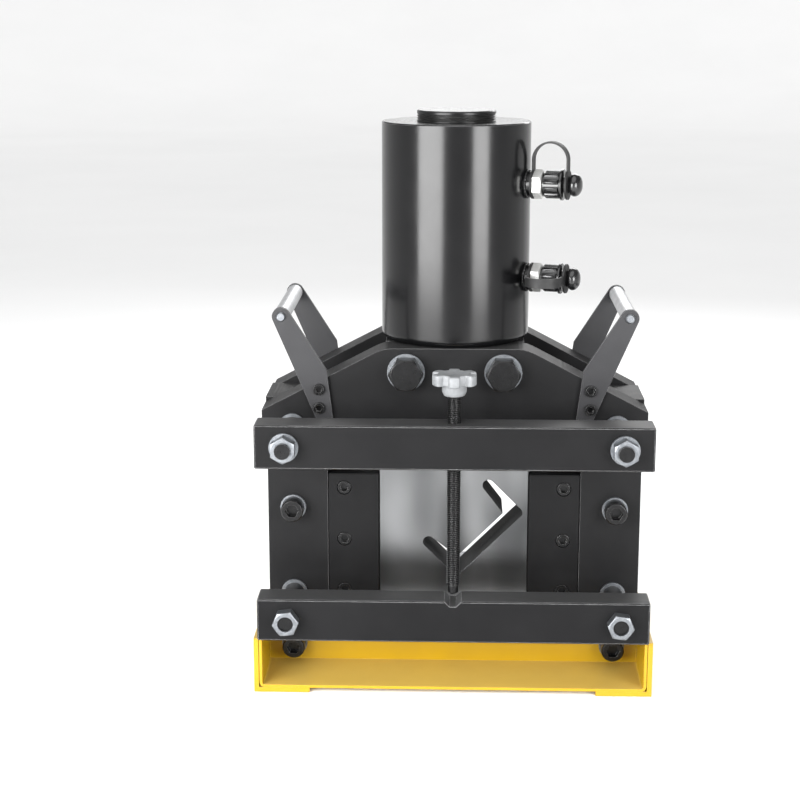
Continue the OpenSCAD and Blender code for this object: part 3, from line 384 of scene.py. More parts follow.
    def relief(
        self,
        tree: bpy.types.NodeTree,
        place: bpy.types.NodeSocket,
        drawn_out: bpy.types.NodeSocket,
        rounded: bpy.types.NodeSocket,
    ) -> bpy.types.NodeSocket:
        """Raise the fine grain over the rounded edges.

        Args:
            tree: Node tree of the material.
            place: Where on the object a point lies.
            drawn_out: The same place, drawn out along the surface's marks.
            rounded: Normal over the rounded edges.

        Returns:
            The normal.
        """
        grain = add_node(
            tree,
            "ShaderNodeTexNoise",
            {
                "Vector": drawn_out,
                "Scale": per_mm(self.grain_mm),
                "Detail": self.grain_detail,
            },
        )
        return add_node(
            tree,
            "ShaderNodeBump",
            {
                "Height": grain.outputs["Fac"],
                "Distance": self.relief_mm * MM,
                "Normal": rounded,
            },
        ).outputs["Normal"]

    def dress(self, piece: bpy.types.Object) -> None:
        """Give the piece this finish in every material slot.

        Args:
            piece: Piece of the machine, from the construction model or made here.
        """
        slots = piece.data.materials
        if not slots:
            slots.append(self.material())
        for place in range(len(slots)):
            slots[place] = self.material()


# Share of a face's normal along the depth: above the first it is no side, below the second it
# wholly is one.
SIDE_RANGE = (0.55, 0.25)


def cut_sides(tree: bpy.types.NodeTree) -> bpy.types.NodeSocket:
    """Mark the sides of a plate, which face neither the front nor the rear of the machine.

    Args:
        tree: Node tree of the material.

    Returns:
        A mask that is one on the sides.
    """
    flat = add_node(tree, "ShaderNodeNewGeometry").outputs["True Normal"]
    ways = add_node(tree, "ShaderNodeSeparateXYZ", {"Vector": flat})
    facing = add_node(
        tree, "ShaderNodeMath", {0: ways.outputs["Y"]}, operation="ABSOLUTE"
    ).outputs[0]
    return add_node(
        tree,
        "ShaderNodeMapRange",
        {"Value": facing, "From Min": SIDE_RANGE[0], "From Max": SIDE_RANGE[1]},
    ).outputs["Result"]


@dataclass(frozen=True)
class CutPlateCoat(Finish):
    """Satin coat over thick plate, whose flame-cut sides still show the drag lines of the cut.

    The lines run through the plate's thickness, from its front face to its rear face. Real ones
    are about a millimetre apart, so they are drawn coarser to show.
    """

    drag_mm: float = 3.6
    drag_deep_mm: float = 0.6
    drag_detail: float = 2.0
    drag_swirl: float = 0.3

    def relief(
        self,
        tree: bpy.types.NodeTree,
        place: bpy.types.NodeSocket,
        drawn_out: bpy.types.NodeSocket,
        rounded: bpy.types.NodeSocket,
    ) -> bpy.types.NodeSocket:
        """Add drag lines on the sides that were cut, and leave the flat faces as rolled.

        Args:
            tree: Node tree of the material.
            place: Where on the object a point lies.
            drawn_out: The same place, drawn out through the plate's thickness.
            rounded: Normal over the rounded edges.

        Returns:
            The normal.
        """
        coat = super().relief(tree, place, place, rounded)
        lines = add_node(
            tree,
            "ShaderNodeTexNoise",
            {
                "Vector": drawn_out,
                "Scale": per_mm(self.drag_mm),
                "Detail": self.drag_detail,
                "Distortion": self.drag_swirl,
            },
        ).outputs["Fac"]
        height = add_node(
            tree, "ShaderNodeMath", {0: lines, 1: cut_sides(tree)}, operation="MULTIPLY"
        ).outputs[0]
        return add_node(
            tree,
            "ShaderNodeBump",
            {"Height": height, "Distance": self.drag_deep_mm * MM, "Normal": coat},
        ).outputs["Normal"]


@dataclass(frozen=True)
class BladeSteel(Finish):
    """Tool steel that was ground and buffed on its faces, and is left dark in its cut slot.

    The buffing leaves a face slightly wavy, so it mirrors the room in soft, upright blots; its
    two tones lie in such blots too, as painted reflection. Its scratches are far finer than a
    millimetre, so they are drawn coarser to show. The slot's walls keep the dark scale of
    hardening.
    """

    scale_colour: str = "#1b1b1c"
    scale_roughness: float = 0.85
    wave_mm: float = 62.0
    wave_deep_mm: float = 3.0
    wave_long: float = 2.4
    wave_detail: float = 1.0
    wave_swirl: float = 0.25
    belt_lean_deg: float = -12.0
    scratch_mm: float = 2.4
    scratch_deep_mm: float = 0.002
    scratch_detail: float = 4.0
    scratch_lean_deg: float = 24.0
    scratch_squeeze: float = 0.03

    def tone(
        self,
        tree: bpy.types.NodeTree,
        place: bpy.types.NodeSocket,
        rounded: bpy.types.NodeSocket,
    ) -> bpy.types.NodeSocket:
        """Darken the cut sides; keep the faces bright, buffed ones with painted reflected blots.

        Args:
            tree: Node tree of the material.
            place: Where on the object a point lies.
            rounded: Normal over the rounded edges.

        Returns:
            The colour.
        """
        bright = super().tone(tree, self.along_the_belt(tree, place), rounded)
        return add_node(
            tree,
            "ShaderNodeMix",
            {
                MIX_SHARE: cut_sides(tree),
                FIRST_COLOUR: bright,
                SECOND_COLOUR: linear(self.scale_colour),
            },
            data_type="RGBA",
        ).outputs[MIXED_COLOUR]

    def along_the_belt(
        self, tree: bpy.types.NodeTree, place: bpy.types.NodeSocket
    ) -> bpy.types.NodeSocket:
        """Draw a pattern out along the buffing belt's way over the face, nearly upright.

        Args:
            tree: Node tree of the material.
            place: Where on the object a point lies.

        Returns:
            The place, drawn out along the belt.
        """
        return add_node(
            tree,
            "ShaderNodeMapping",
            {
                "Vector": place,
                "Rotation": (0.0, math.radians(self.belt_lean_deg), 0.0),
                "Scale": (1.0, 1.0, 1.0 / self.wave_long),
            },
        ).outputs["Vector"]

    def metal(self, tree: bpy.types.NodeTree) -> bpy.types.NodeSocket:
        """Return bare metal on the faces and none on the scale, as a mask over the blade."""
        return add_node(
            tree, "ShaderNodeMath", {0: self.metallic, 1: cut_sides(tree)}, operation="SUBTRACT"
        ).outputs[0]

    def sheen(
        self, tree: bpy.types.NodeTree, place: bpy.types.NodeSocket
    ) -> bpy.types.NodeSocket:
        """Keep the faces smooth, and make the scale on the cut sides matt.

        Args:
            tree: Node tree of the material.
            place: Where on the object a point lies.

        Returns:
            The roughness.
        """
        smooth = super().sheen(tree, place)
        return add_node(
            tree,
            "ShaderNodeMix",
            {
                MIX_SHARE: cut_sides(tree),
                FIRST_NUMBER: smooth,
                SECOND_NUMBER: self.scale_roughness,
            },
            data_type="FLOAT",
        ).outputs[0]

    def relief(
        self,
        tree: bpy.types.NodeTree,
        place: bpy.types.NodeSocket,
        drawn_out: bpy.types.NodeSocket,
        rounded: bpy.types.NodeSocket,
    ) -> bpy.types.NodeSocket:
        """Lay buffing waves and crossing scratches over the grinding marks.

        Args:
            tree: Node tree of the material.
            place: Where on the object a point lies.
            drawn_out: The same place, drawn out along the grinding marks.
            rounded: Normal over the rounded edges.

        Returns:
            The normal.
        """
        ground = super().relief(tree, place, drawn_out, rounded)
        waves = add_node(
            tree,
            "ShaderNodeTexNoise",
            {
                "Vector": self.along_the_belt(tree, place),
                "Scale": per_mm(self.wave_mm),
                "Detail": self.wave_detail,
                "Distortion": self.wave_swirl,
            },
        ).outputs["Fac"]
        buffed = add_node(
            tree,
            "ShaderNodeBump",
            {"Height": waves, "Distance": self.wave_deep_mm * MM, "Normal": ground},
        ).outputs["Normal"]
        slanted = add_node(
            tree,
            "ShaderNodeMapping",
            {
                "Vector": place,
                "Rotation": (0.0, math.radians(self.scratch_lean_deg), 0.0),
                "Scale": (1.0, 1.0, self.scratch_squeeze),
            },
        ).outputs["Vector"]
        scratches = add_node(
            tree,
            "ShaderNodeTexNoise",
            {
                "Vector": slanted,
                "Scale": per_mm(self.scratch_mm),
                "Detail": self.scratch_detail,
            },
        ).outputs["Fac"]
        return add_node(
            tree,
            "ShaderNodeBump",
            {"Height": scratches, "Distance": self.scratch_deep_mm * MM, "Normal": buffed},
        ).outputs["Normal"]


# Satin black powder coat on steel plate: soft grey sheen, fine orange peel, thin pale edges.
PLATE_COAT = CutPlateCoat(
    name="Black_powder_coat_on_cut_plate",
    slot="black_paint",
    colour="#0f0f10",
    second_colour="#151516",
    patch_mm=70.0,
    roughness=0.46,
    roughness_spread=0.06,
    grain_mm=1.4,
    relief_mm=0.035,
    edge_mm=1.1,
    specular_level=0.17,
    worn_colour="#a8a8a9",
    wear=0.38,
    stretch=(1.0, 0.03, 1.0),
    # Pale dust and painted top light on the level faces.
    dust_and_top_light_colour="#8f8f8f",
    dust=0.08,
)

# The same coat on milled bar: smoother, with a bright worn line along each edge.
BAR_COAT = Finish(
    name="Black_powder_coat_on_milled_bar",
    slot="black_paint",
    colour="#0e0e0f",
    second_colour="#141415",
    patch_mm=85.0,
    roughness=0.42,
    roughness_spread=0.06,
    grain_mm=1.2,
    relief_mm=0.03,
    edge_mm=0.9,
    specular_level=0.15,
    worn_colour="#c4c4c5",
    wear=0.75,
    # Pale dust and painted top light on the level faces.
    dust_and_top_light_colour="#8f8f8f",
    dust=0.12,
)

# The same coat on the ground gib strips: their edges are square, and the coat hardly wears there.
STRIP_COAT = Finish(
    name="Black_powder_coat_on_ground_strip",
    slot="black_paint",
    colour="#0d0d0e",
    second_colour="#131314",
    patch_mm=60.0,
    roughness=0.44,
    roughness_spread=0.06,
    grain_mm=1.2,
    relief_mm=0.03,
    edge_mm=0.4,
    specular_level=0.15,
    worn_colour="#5c5c5d",
    wear=0.15,
)

# Satin black paint on thin flat arms: a dark grey, shinier than the plates' coat.
ARM_COAT = Finish(
    name="Black_satin_paint_on_flat_bar",
    slot="black_paint",
    # Paler than the plates' coat: painted light, for light falling flatly on the arms.
    colour="#222224",
    second_colour="#2a2a2c",
    patch_mm=50.0,
    roughness=0.48,
    roughness_spread=0.05,
    grain_mm=1.0,
    relief_mm=0.03,
    edge_mm=0.6,
    specular_level=0.38,
    worn_colour="#969697",
    wear=0.5,
)

# Sprayed gloss enamel on a turned cylinder: near black, and it mirrors the lights in tall bands.
CYLINDER_ENAMEL = Finish(
    name="Gloss_black_enamel_on_turned_steel",
    slot="gloss_black_paint",
    colour="#070708",
    second_colour="#0b0b0c",
    patch_mm=90.0,
    roughness=0.22,
    roughness_spread=0.04,
    grain_mm=6.0,
    relief_mm=0.02,
    edge_mm=1.2,
    ior=1.45,
    specular_level=0.31,
    coat=0.2,
    coat_roughness=0.16,
    worn_colour="#9a9a9c",
    wear=0.4,
)

# Golden yellow powder coat on bent sheet: even and warm, lighter edges, dust and painted top
# light.
YELLOW_COAT = Finish(
    name="Golden_yellow_powder_coat_on_sheet",
    slot="yellow_paint",
    colour="#b08b03",
    second_colour="#a78306",
    patch_mm=80.0,
    roughness=0.4,
    roughness_spread=0.06,
    grain_mm=1.3,
    relief_mm=0.04,
    edge_mm=0.9,
    specular_level=0.4,
    worn_colour="#cda82b",
    wear=0.5,
    coat=0.3,
    coat_roughness=0.3,
    # Pale dust and painted top light on the level faces.
    dust_and_top_light_colour="#dcc382",
    dust=0.3,
)

# Hardened tool steel, ground and buffed: smooth and bright grey, with wide soft waves.
FACE_STEEL = BladeSteel(
    name="Buffed_tool_steel",
    slot="tool_steel",
    # Its two far-apart tones, in broad soft patches, are painted reflection.
    colour="#424344",
    second_colour="#858687",
    patch_mm=48.0,
    roughness=0.29,
    roughness_spread=0.014,
    grain_mm=1.8,
    relief_mm=0.0008,
    edge_mm=0.3,
    metallic=1.0,
    stretch=(0.02, 1.0, 1.0),
    patch_detail=0.6,
)

# The moving blade's steel: ground only, so it is duller than the buffed face in front of it.
SHEAR_STEEL = BladeSteel(
    name="Ground_tool_steel",
    slot="tool_steel",
    colour="#68696a",
    second_colour="#7e7f80",
    patch_mm=40.0,
    roughness=0.36,
    roughness_spread=0.06,
    grain_mm=0.6,
    relief_mm=0.01,
    edge_mm=0.3,
    metallic=1.0,
    wave_deep_mm=0.2,
    stretch=(0.03, 1.0, 1.0),
)

# Ground steel inside the frame: grey and dull, with marks across the stroke.
GROUND_STEEL = Finish(
    name="Ground_steel",
    slot="machined_steel",
    colour="#77787a",
    second_colour="#8c8d8f",
    patch_mm=30.0,
    roughness=0.38,
    roughness_spread=0.08,
    grain_mm=0.7,
    relief_mm=0.012,
    edge_mm=0.4,
    metallic=1.0,
    stretch=(0.03, 1.0, 1.0),
)

# Blackened steel screws: oily near-black, pale grey where the oxide is rubbed off the corners.
BLACK_OXIDE = Finish(
    name="Black_oxide_on_steel",
    slot="black_oxide",
    colour="#0e0e0f",
    second_colour="#171718",
    patch_mm=5.0,
    roughness=0.3,
    roughness_spread=0.06,
    grain_mm=0.8,
    relief_mm=0.02,
    edge_mm=0.5,
    metallic=0.55,
    worn_colour="#a2a2a1",
    wear=0.45,
)

# Zinc on pressed and turned steel: cool grey, satin and faintly mottled.
ZINC_PLATE = Finish(
    name="Bright_zinc_plate_on_steel",
    slot="zinc_plate",
    colour="#8a8d90",
    second_colour="#72757a",
    patch_mm=4.0,
    roughness=0.48,
    roughness_spread=0.08,
    grain_mm=1.5,
    relief_mm=0.012,
    edge_mm=0.5,
    metallic=1.0,
)

# Nickel on turned steel: almost white and satin, with a fine grain drawn coarser to show.
NICKEL_PLATE = Finish(
    name="Nickel_plate_on_turned_steel",
    slot="nickel_plate",
    colour="#d6d6d4",
    second_colour="#c2c2c0",
    patch_mm=6.0,
    roughness=0.46,
    roughness_spread=0.05,
    grain_mm=0.9,
    relief_mm=0.01,
    edge_mm=0.4,
    metallic=0.8,
)

# Bearing bronze, turned: warm brown-gold and slightly dull.
BEARING_BRONZE = Finish(
    name="Turned_bearing_bronze",
    slot="bronze",
    colour="#a8793a",
    second_colour="#8b6230",
    patch_mm=12.0,
    roughness=0.32,
    roughness_spread=0.06,
    grain_mm=0.6,
    relief_mm=0.01,
    edge_mm=0.3,
    metallic=1.0,
)

# Sand-cast alloy under silver lacquer: pale, matt and grainy, with soft corners.
CAST_ALLOY = Finish(
    name="Silver_lacquer_on_cast_alloy",
    slot="cast_knob",
    colour="#858789",
    second_colour="#737577",
    patch_mm=7.0,
    roughness=0.56,
    roughness_spread=0.07,
    grain_mm=1.1,
    relief_mm=0.08,
    edge_mm=0.6,
    metallic=0.15,
    worn_colour="#ececec",
    wear=0.3,
)

# Anodised aluminium tube: satin grey, with fine lines drawn along the tube.
ANODISED_TUBE = Finish(
    name="Anodised_aluminium_tube",
    slot="satin_aluminium",
    colour="#c2c3c5",
    second_colour="#adaeb0",
    patch_mm=14.0,
    roughness=0.42,
    roughness_spread=0.06,
    grain_mm=0.8,
    relief_mm=0.012,
    edge_mm=0.5,
    metallic=0.85,
    stretch=(1.0, 0.04, 1.0),
)

# Moulded nylon: black with a clear shine on each rib and a fine spark-eroded grain.
MOULDED_NYLON = Finish(
    name="Moulded_black_nylon",
    slot="black_plastic",
    colour="#0e0e0f",
    second_colour="#161617",
    patch_mm=8.0,
    roughness=0.22,
    roughness_spread=0.06,
    grain_mm=0.8,
    relief_mm=0.02,
    edge_mm=0.4,
    ior=1.53,
    specular_level=0.6,
)

# Black rubber, moulded: dull, with soft patches that are slightly greyer.
DULL_RUBBER = Finish(
    name="Black_nitrile_rubber",
    slot="black_rubber",
    colour="#121213",
    second_colour="#1b1b1b",
    patch_mm=9.0,
    roughness=0.58,
    roughness_spread=0.08,
    grain_mm=0.7,
    relief_mm=0.02,
    edge_mm=0.5,
    ior=1.52,
    specular_level=0.4,
)

# Painted studio floor: white, matt and very slightly cloudy.
FLOOR_PAINT = Finish(
    name="Matt_white_floor_paint",
    slot="",
    colour="#f4f4f4",
    second_colour="#f1f1f1",
    patch_mm=900.0,
    roughness=0.75,
    roughness_spread=0.04,
    grain_mm=3.0,
    relief_mm=0.02,
    edge_mm=0.5,
    specular_level=0.2,
)


class Part(Enum):
    """Bodies of the machine that pieces made here move with."""

    FRAME = "frame"
    CLAMP_ROD = "clamp_rod"
    UPPER_CAP = "upper_cap"
    LOWER_CAP = "lower_cap"


class Ends(Enum):
    """What becomes of the first and last ring of a skin."""

    FILLED = "filled"
    OPEN = "open"
    JOINED = "joined"


def wear_finish(finish: Finish, *node_names: str) -> None:
    """Give pieces of the construction model their finish and report each.

    Args:
        finish: The finish that the pieces have.
        *node_names: Names of the pieces.
    """
    for node_name in node_names:
        finish.dress(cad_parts[node_name])
        log.info("%s: %s", node_name, finish.name)


def skin(
    name: str, rings: Sequence[Sequence[Vector]], ends: Ends = Ends.FILLED
) -> bpy.types.Object:
    """Make a piece from a stack of rings that have the same number of points.

    Args:
        name: Name of the piece.
        rings: Rings of points, in order along the piece.
        ends: Whether the first and last rings are filled, left open or joined to each other.

    Returns:
        The new piece, linked to the scene.
    """
    count = len(rings[0])
    points = [tuple(point) for ring in rings for point in ring]
    faces: list[tuple[int, ...]] = []
    bands = len(rings) if ends is Ends.JOINED else len(rings) - 1
    for level in range(bands):
        start = level * count
        above = (level + 1) % len(rings) * count
        for i in range(count):
            after = (i + 1) % count
            faces.append((start + i, start + after, above + after, above + i))
    if ends is Ends.FILLED:
        faces.append(tuple(reversed(range(count))))
        faces.append(tuple(range(len(points) - count, len(points))))
    mesh = bpy.data.meshes.new(name)
    mesh.from_pydata(points, [], faces)
    mesh.validate()
    mesh.shade_smooth()
    piece = bpy.data.objects.new(name, mesh)
    bpy.context.scene.collection.objects.link(piece)
    return piece


def place_piece(piece: bpy.types.Object, finish: Finish, part: Part, replaced: str = "") -> None:
    """Dress a piece made here, hang it on its body and report it.

    Args:
        piece: The new piece.
        finish: The finish that it has.
        part: The body that it moves with.
        replaced: Name of the construction piece that it stands for, if there is one.
    """
    finish.dress(piece)
    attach(piece, part.value)
    if replaced:
        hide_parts(replaced)
    log.info("%s: %s, moves with %s", piece.name, finish.name, part.value)


@dataclass(frozen=True)
class Spindle:
    """A line that a turned or moulded piece is built round, in millimetres."""

    foot: Vector
    way: Vector
    side: Vector

    def ring(self, along: float, radius: Radius, count: int) -> list[Vector]:
        """Return one ring of points round the line.

        Args:
            along: Distance of the ring along the line.
            radius: Radius in millimetres at an angle in radians.
            count: Number of points.

        Returns:
            The points, in metres.
        """
        third = self.way.cross(self.side)
        points = []
        for i in range(count):
            angle = FULL_TURN * i / count
            reach = radius(angle)
            spot = (
                self.foot
                + self.way * along
                + self.side * (reach * math.cos(angle))
                + third * (reach * math.sin(angle))
            )
            points.append(spot * MM)
        return points

    def round_rings(
        self, sections: Sequence[tuple[float, float]], count: int
    ) -> list[list[Vector]]:
        """Return a stack of round rings.

        Args:
            sections: Distance along the line and radius of each ring, in millimetres.
            count: Number of points in a ring.

        Returns:
            The rings, in metres.
        """
        return [self.ring(along, lambda _, r=radius: r, count) for along, radius in sections]


@dataclass
class Body:
    """The frame of two plates, the crosshead between them and what holds them together."""

    def dress(self) -> None:
        """Give the frame's pieces their finishes."""
        wear_finish(
            PLATE_COAT, "front_plate", "rear_plate", "left_spacer", "right_spacer", "crosshead"
        )
        wear_finish(
            BLACK_OXIDE, "crosshead_bolts", "crosshead_nuts", "frame_screws", "gib_screws"
        )
        wear_finish(ZINC_PLATE, "crosshead_washers", "frame_screw_washers")
        wear_finish(STRIP_COAT, "left_gib_strip", "right_gib_strip")


@dataclass
class Blades:
    """The fixed blade, and the moving blade on its carrier."""

    def dress(self) -> None:
        """Give the blades and what moves them their finishes."""
        wear_finish(FACE_STEEL, "fixed_blade")
        wear_finish(SHEAR_STEEL, "moving_blade")
        wear_finish(GROUND_STEEL, "blade_carrier", "ram", "piston", "piston_nut")
        wear_finish(BLACK_OXIDE, "blade_screws", "ram_pin")


@dataclass
class Cylinder:
    """The hydraulic cylinder, with a rippled weld round each oil port."""

    foot: tuple[float, float] = (0.0, 16.0)
    barrel_r: float = 79.25
    port_turn: float = 16.0
    port_heights: tuple[float, float] = (519.0, 420.0)
    boss_r: float = 13.5
    weld_r: float = 1.9
    ripples: int = 26
    ripple_share: float = 0.13
    bead_sections: int = 144
    bead_points: int = 10

    def dress(self) -> None:
        """Give the cylinder's pieces their finishes."""
        wear_finish(CYLINDER_ENAMEL, "cylinder_barrel")
        wear_finish(BLACK_OXIDE, "end_plug")
        wear_finish(BEARING_BRONZE, "rod_bush")
        wear_finish(DULL_RUBBER, "rod_seal", "piston_seal")

    def build_welds(self) -> None:
        """Lay a rippled weld bead where each port's boss meets the barrel."""
        turn = math.radians(self.port_turn)
        way = Vector((math.cos(turn), -math.sin(turn), 0.0))
        side = Vector((math.sin(turn), math.cos(turn), 0.0))
        up = Vector((0.0, 0.0, 1.0))
        for name, height in zip(("upper_port_weld", "lower_port_weld"), self.port_heights):
            centre = Vector((self.foot[0], self.foot[1], height))
            rings = [
                self.bead_ring(centre, way, side, up, FULL_TURN * i / self.bead_sections)
                for i in range(self.bead_sections)
            ]
            place_piece(skin(name, rings, Ends.JOINED), CYLINDER_ENAMEL, Part.FRAME)

    def bead_ring(
        self, centre: Vector, way: Vector, side: Vector, up: Vector, angle: float
    ) -> list[Vector]:
        """Return the bead's section at one angle round the boss.

        Args:
            centre: The port's centre on the cylinder's axis.
            way: Direction of the port's axis.
            side: Level direction across the port.
            up: Upward direction.
            angle: Angle round the port, in radians.

        Returns:
            The section's points, in metres.
        """
        out = side * math.cos(angle) + up * math.sin(angle)
        across = self.boss_r * math.cos(angle)
        along = math.sqrt(self.barrel_r**2 - across**2)
        middle = centre + way * along + out * self.boss_r
        size = self.weld_r * (1 + self.ripple_share * math.sin(self.ripples * angle))
        return [
            (middle + (way * math.cos(t) + out * math.sin(t)) * size) * MM
            for t in (FULL_TURN * i / self.bead_points for i in range(self.bead_points))
        ]


@dataclass
class OilPort:
    """One oil coupler with its strap and its ribbed dust cap, drawn with rounded ribs and knob."""

    level: str
    part: Part
    height: float
    foot: tuple[float, float] = (0.0, 16.0)
    port_turn: float = 16.0
    mouth: float = 96.3
    skirt_end: float = 114.65
    flange_end: float = 117.65
    neck_end: float = 123.05
    knob_end: float = 137.05
    bore_r: float = 10.65
    bore_end: float = 114.05
    skirt_r: float = 12.9
    rib_r: float = 14.5
    flange_r: float = 16.3
    neck_r: float = 8.5
    knob_r: float = 12.0
    ribs: int = 10
    points: int = 240
    rib_foot: float = 0.3
    rib_flank: float = 0.4
    knob_widest: float = 0.42
    knob_fullness: float = 0.8
    knob_tilts_deg: range = range(-50, 81, 13)
    knob_end_r: float = 0.6

    def dress(self) -> None:
        """Give the coupler, the strap and the seal their finishes."""
        wear_finish(NICKEL_PLATE, f"{self.level}_coupler")
        wear_finish(DULL_RUBBER, f"{self.level}_cap_strap", f"{self.level}_cap_seal")

    def ribbed(self, share: float) -> Radius:
        """Return the skirt's outline with its rounded ribs.

        Args:
            share: How much of the ribs' height shows, from none to one.

        Returns:
            The radius at an angle.
        """

        def radius(angle: float) -> float:
            wave = 0.5 + 0.5 * math.cos(self.ribs * angle)
            rib = min(1.0, max(0.0, (wave - self.rib_foot) / self.rib_flank))
            return self.skirt_r + (self.rib_r - self.skirt_r) * share * rib * (2 - rib)

        return radius

    def knob_sections(self) -> list[tuple[float, float]]:
        """Return the round knob's sections as distance and radius, with a domed end."""
        length = self.knob_end - self.neck_end
        middle = self.neck_end + length * self.knob_widest
        sections = []
        for tilt_deg in self.knob_tilts_deg:
            tilt = math.radians(tilt_deg)
            reach = length * (self.knob_widest if tilt < 0 else 1 - self.knob_widest)
            radius = self.knob_r * math.cos(tilt) ** self.knob_fullness
            sections.append((middle + reach * math.sin(tilt), radius))
        sections.append((self.knob_end, self.knob_end_r))
        return sections

    def build_cap(self) -> None:
        """Mould the cap as one skin: bore, ribbed skirt, flange, neck and knob."""
        turn = math.radians(self.port_turn)
        spindle = Spindle(
            Vector((self.foot[0], self.foot[1], self.height)),
            Vector((math.cos(turn), -math.sin(turn), 0.0)),
            Vector((0.0, 0.0, 1.0)),
        )
        # Distances along the axis and radii. The small steps are the moulding's round corners.
        plain = [
            (self.bore_end, 0.3),
            (self.bore_end, self.bore_r),
            (self.mouth + 0.6, self.bore_r),
            (self.mouth, self.bore_r + 0.5),
            (self.mouth, self.skirt_r - 0.8),
            (self.mouth + 0.3, self.skirt_r - 0.2),
            (self.mouth + 1.2, self.skirt_r),
        ]
        ribbed = [
            (self.mouth + 1.8, 0.0),
            (self.mouth + 2.2, 0.6),
            (self.mouth + 3.0, 1.0),
            (self.skirt_end - 2.2, 1.0),
            (self.skirt_end - 1.2, 0.75),
            (self.skirt_end - 0.7, 0.0),
        ]
        flange = [
            (self.skirt_end - 0.2, self.skirt_r),
            (self.skirt_end, self.flange_r - 0.7),
            (self.skirt_end + 0.4, self.flange_r),
            (self.flange_end - 0.5, self.flange_r),
            (self.flange_end, self.flange_r - 0.6),
            (self.flange_end, self.neck_r + 0.3),
            (self.flange_end + 0.3, self.neck_r),
            (self.neck_end, self.neck_r),
        ]
        rings = spindle.round_rings(plain, self.points)
        rings += [spindle.ring(d, self.ribbed(share), self.points) for d, share in ribbed]
        rings += spindle.round_rings(flange + self.knob_sections(), self.points)
        cap = skin(f"{self.level}_ribbed_cap", rings)
        place_piece(cap, MOULDED_NYLON, self.part, f"{self.level}_dust_cap")


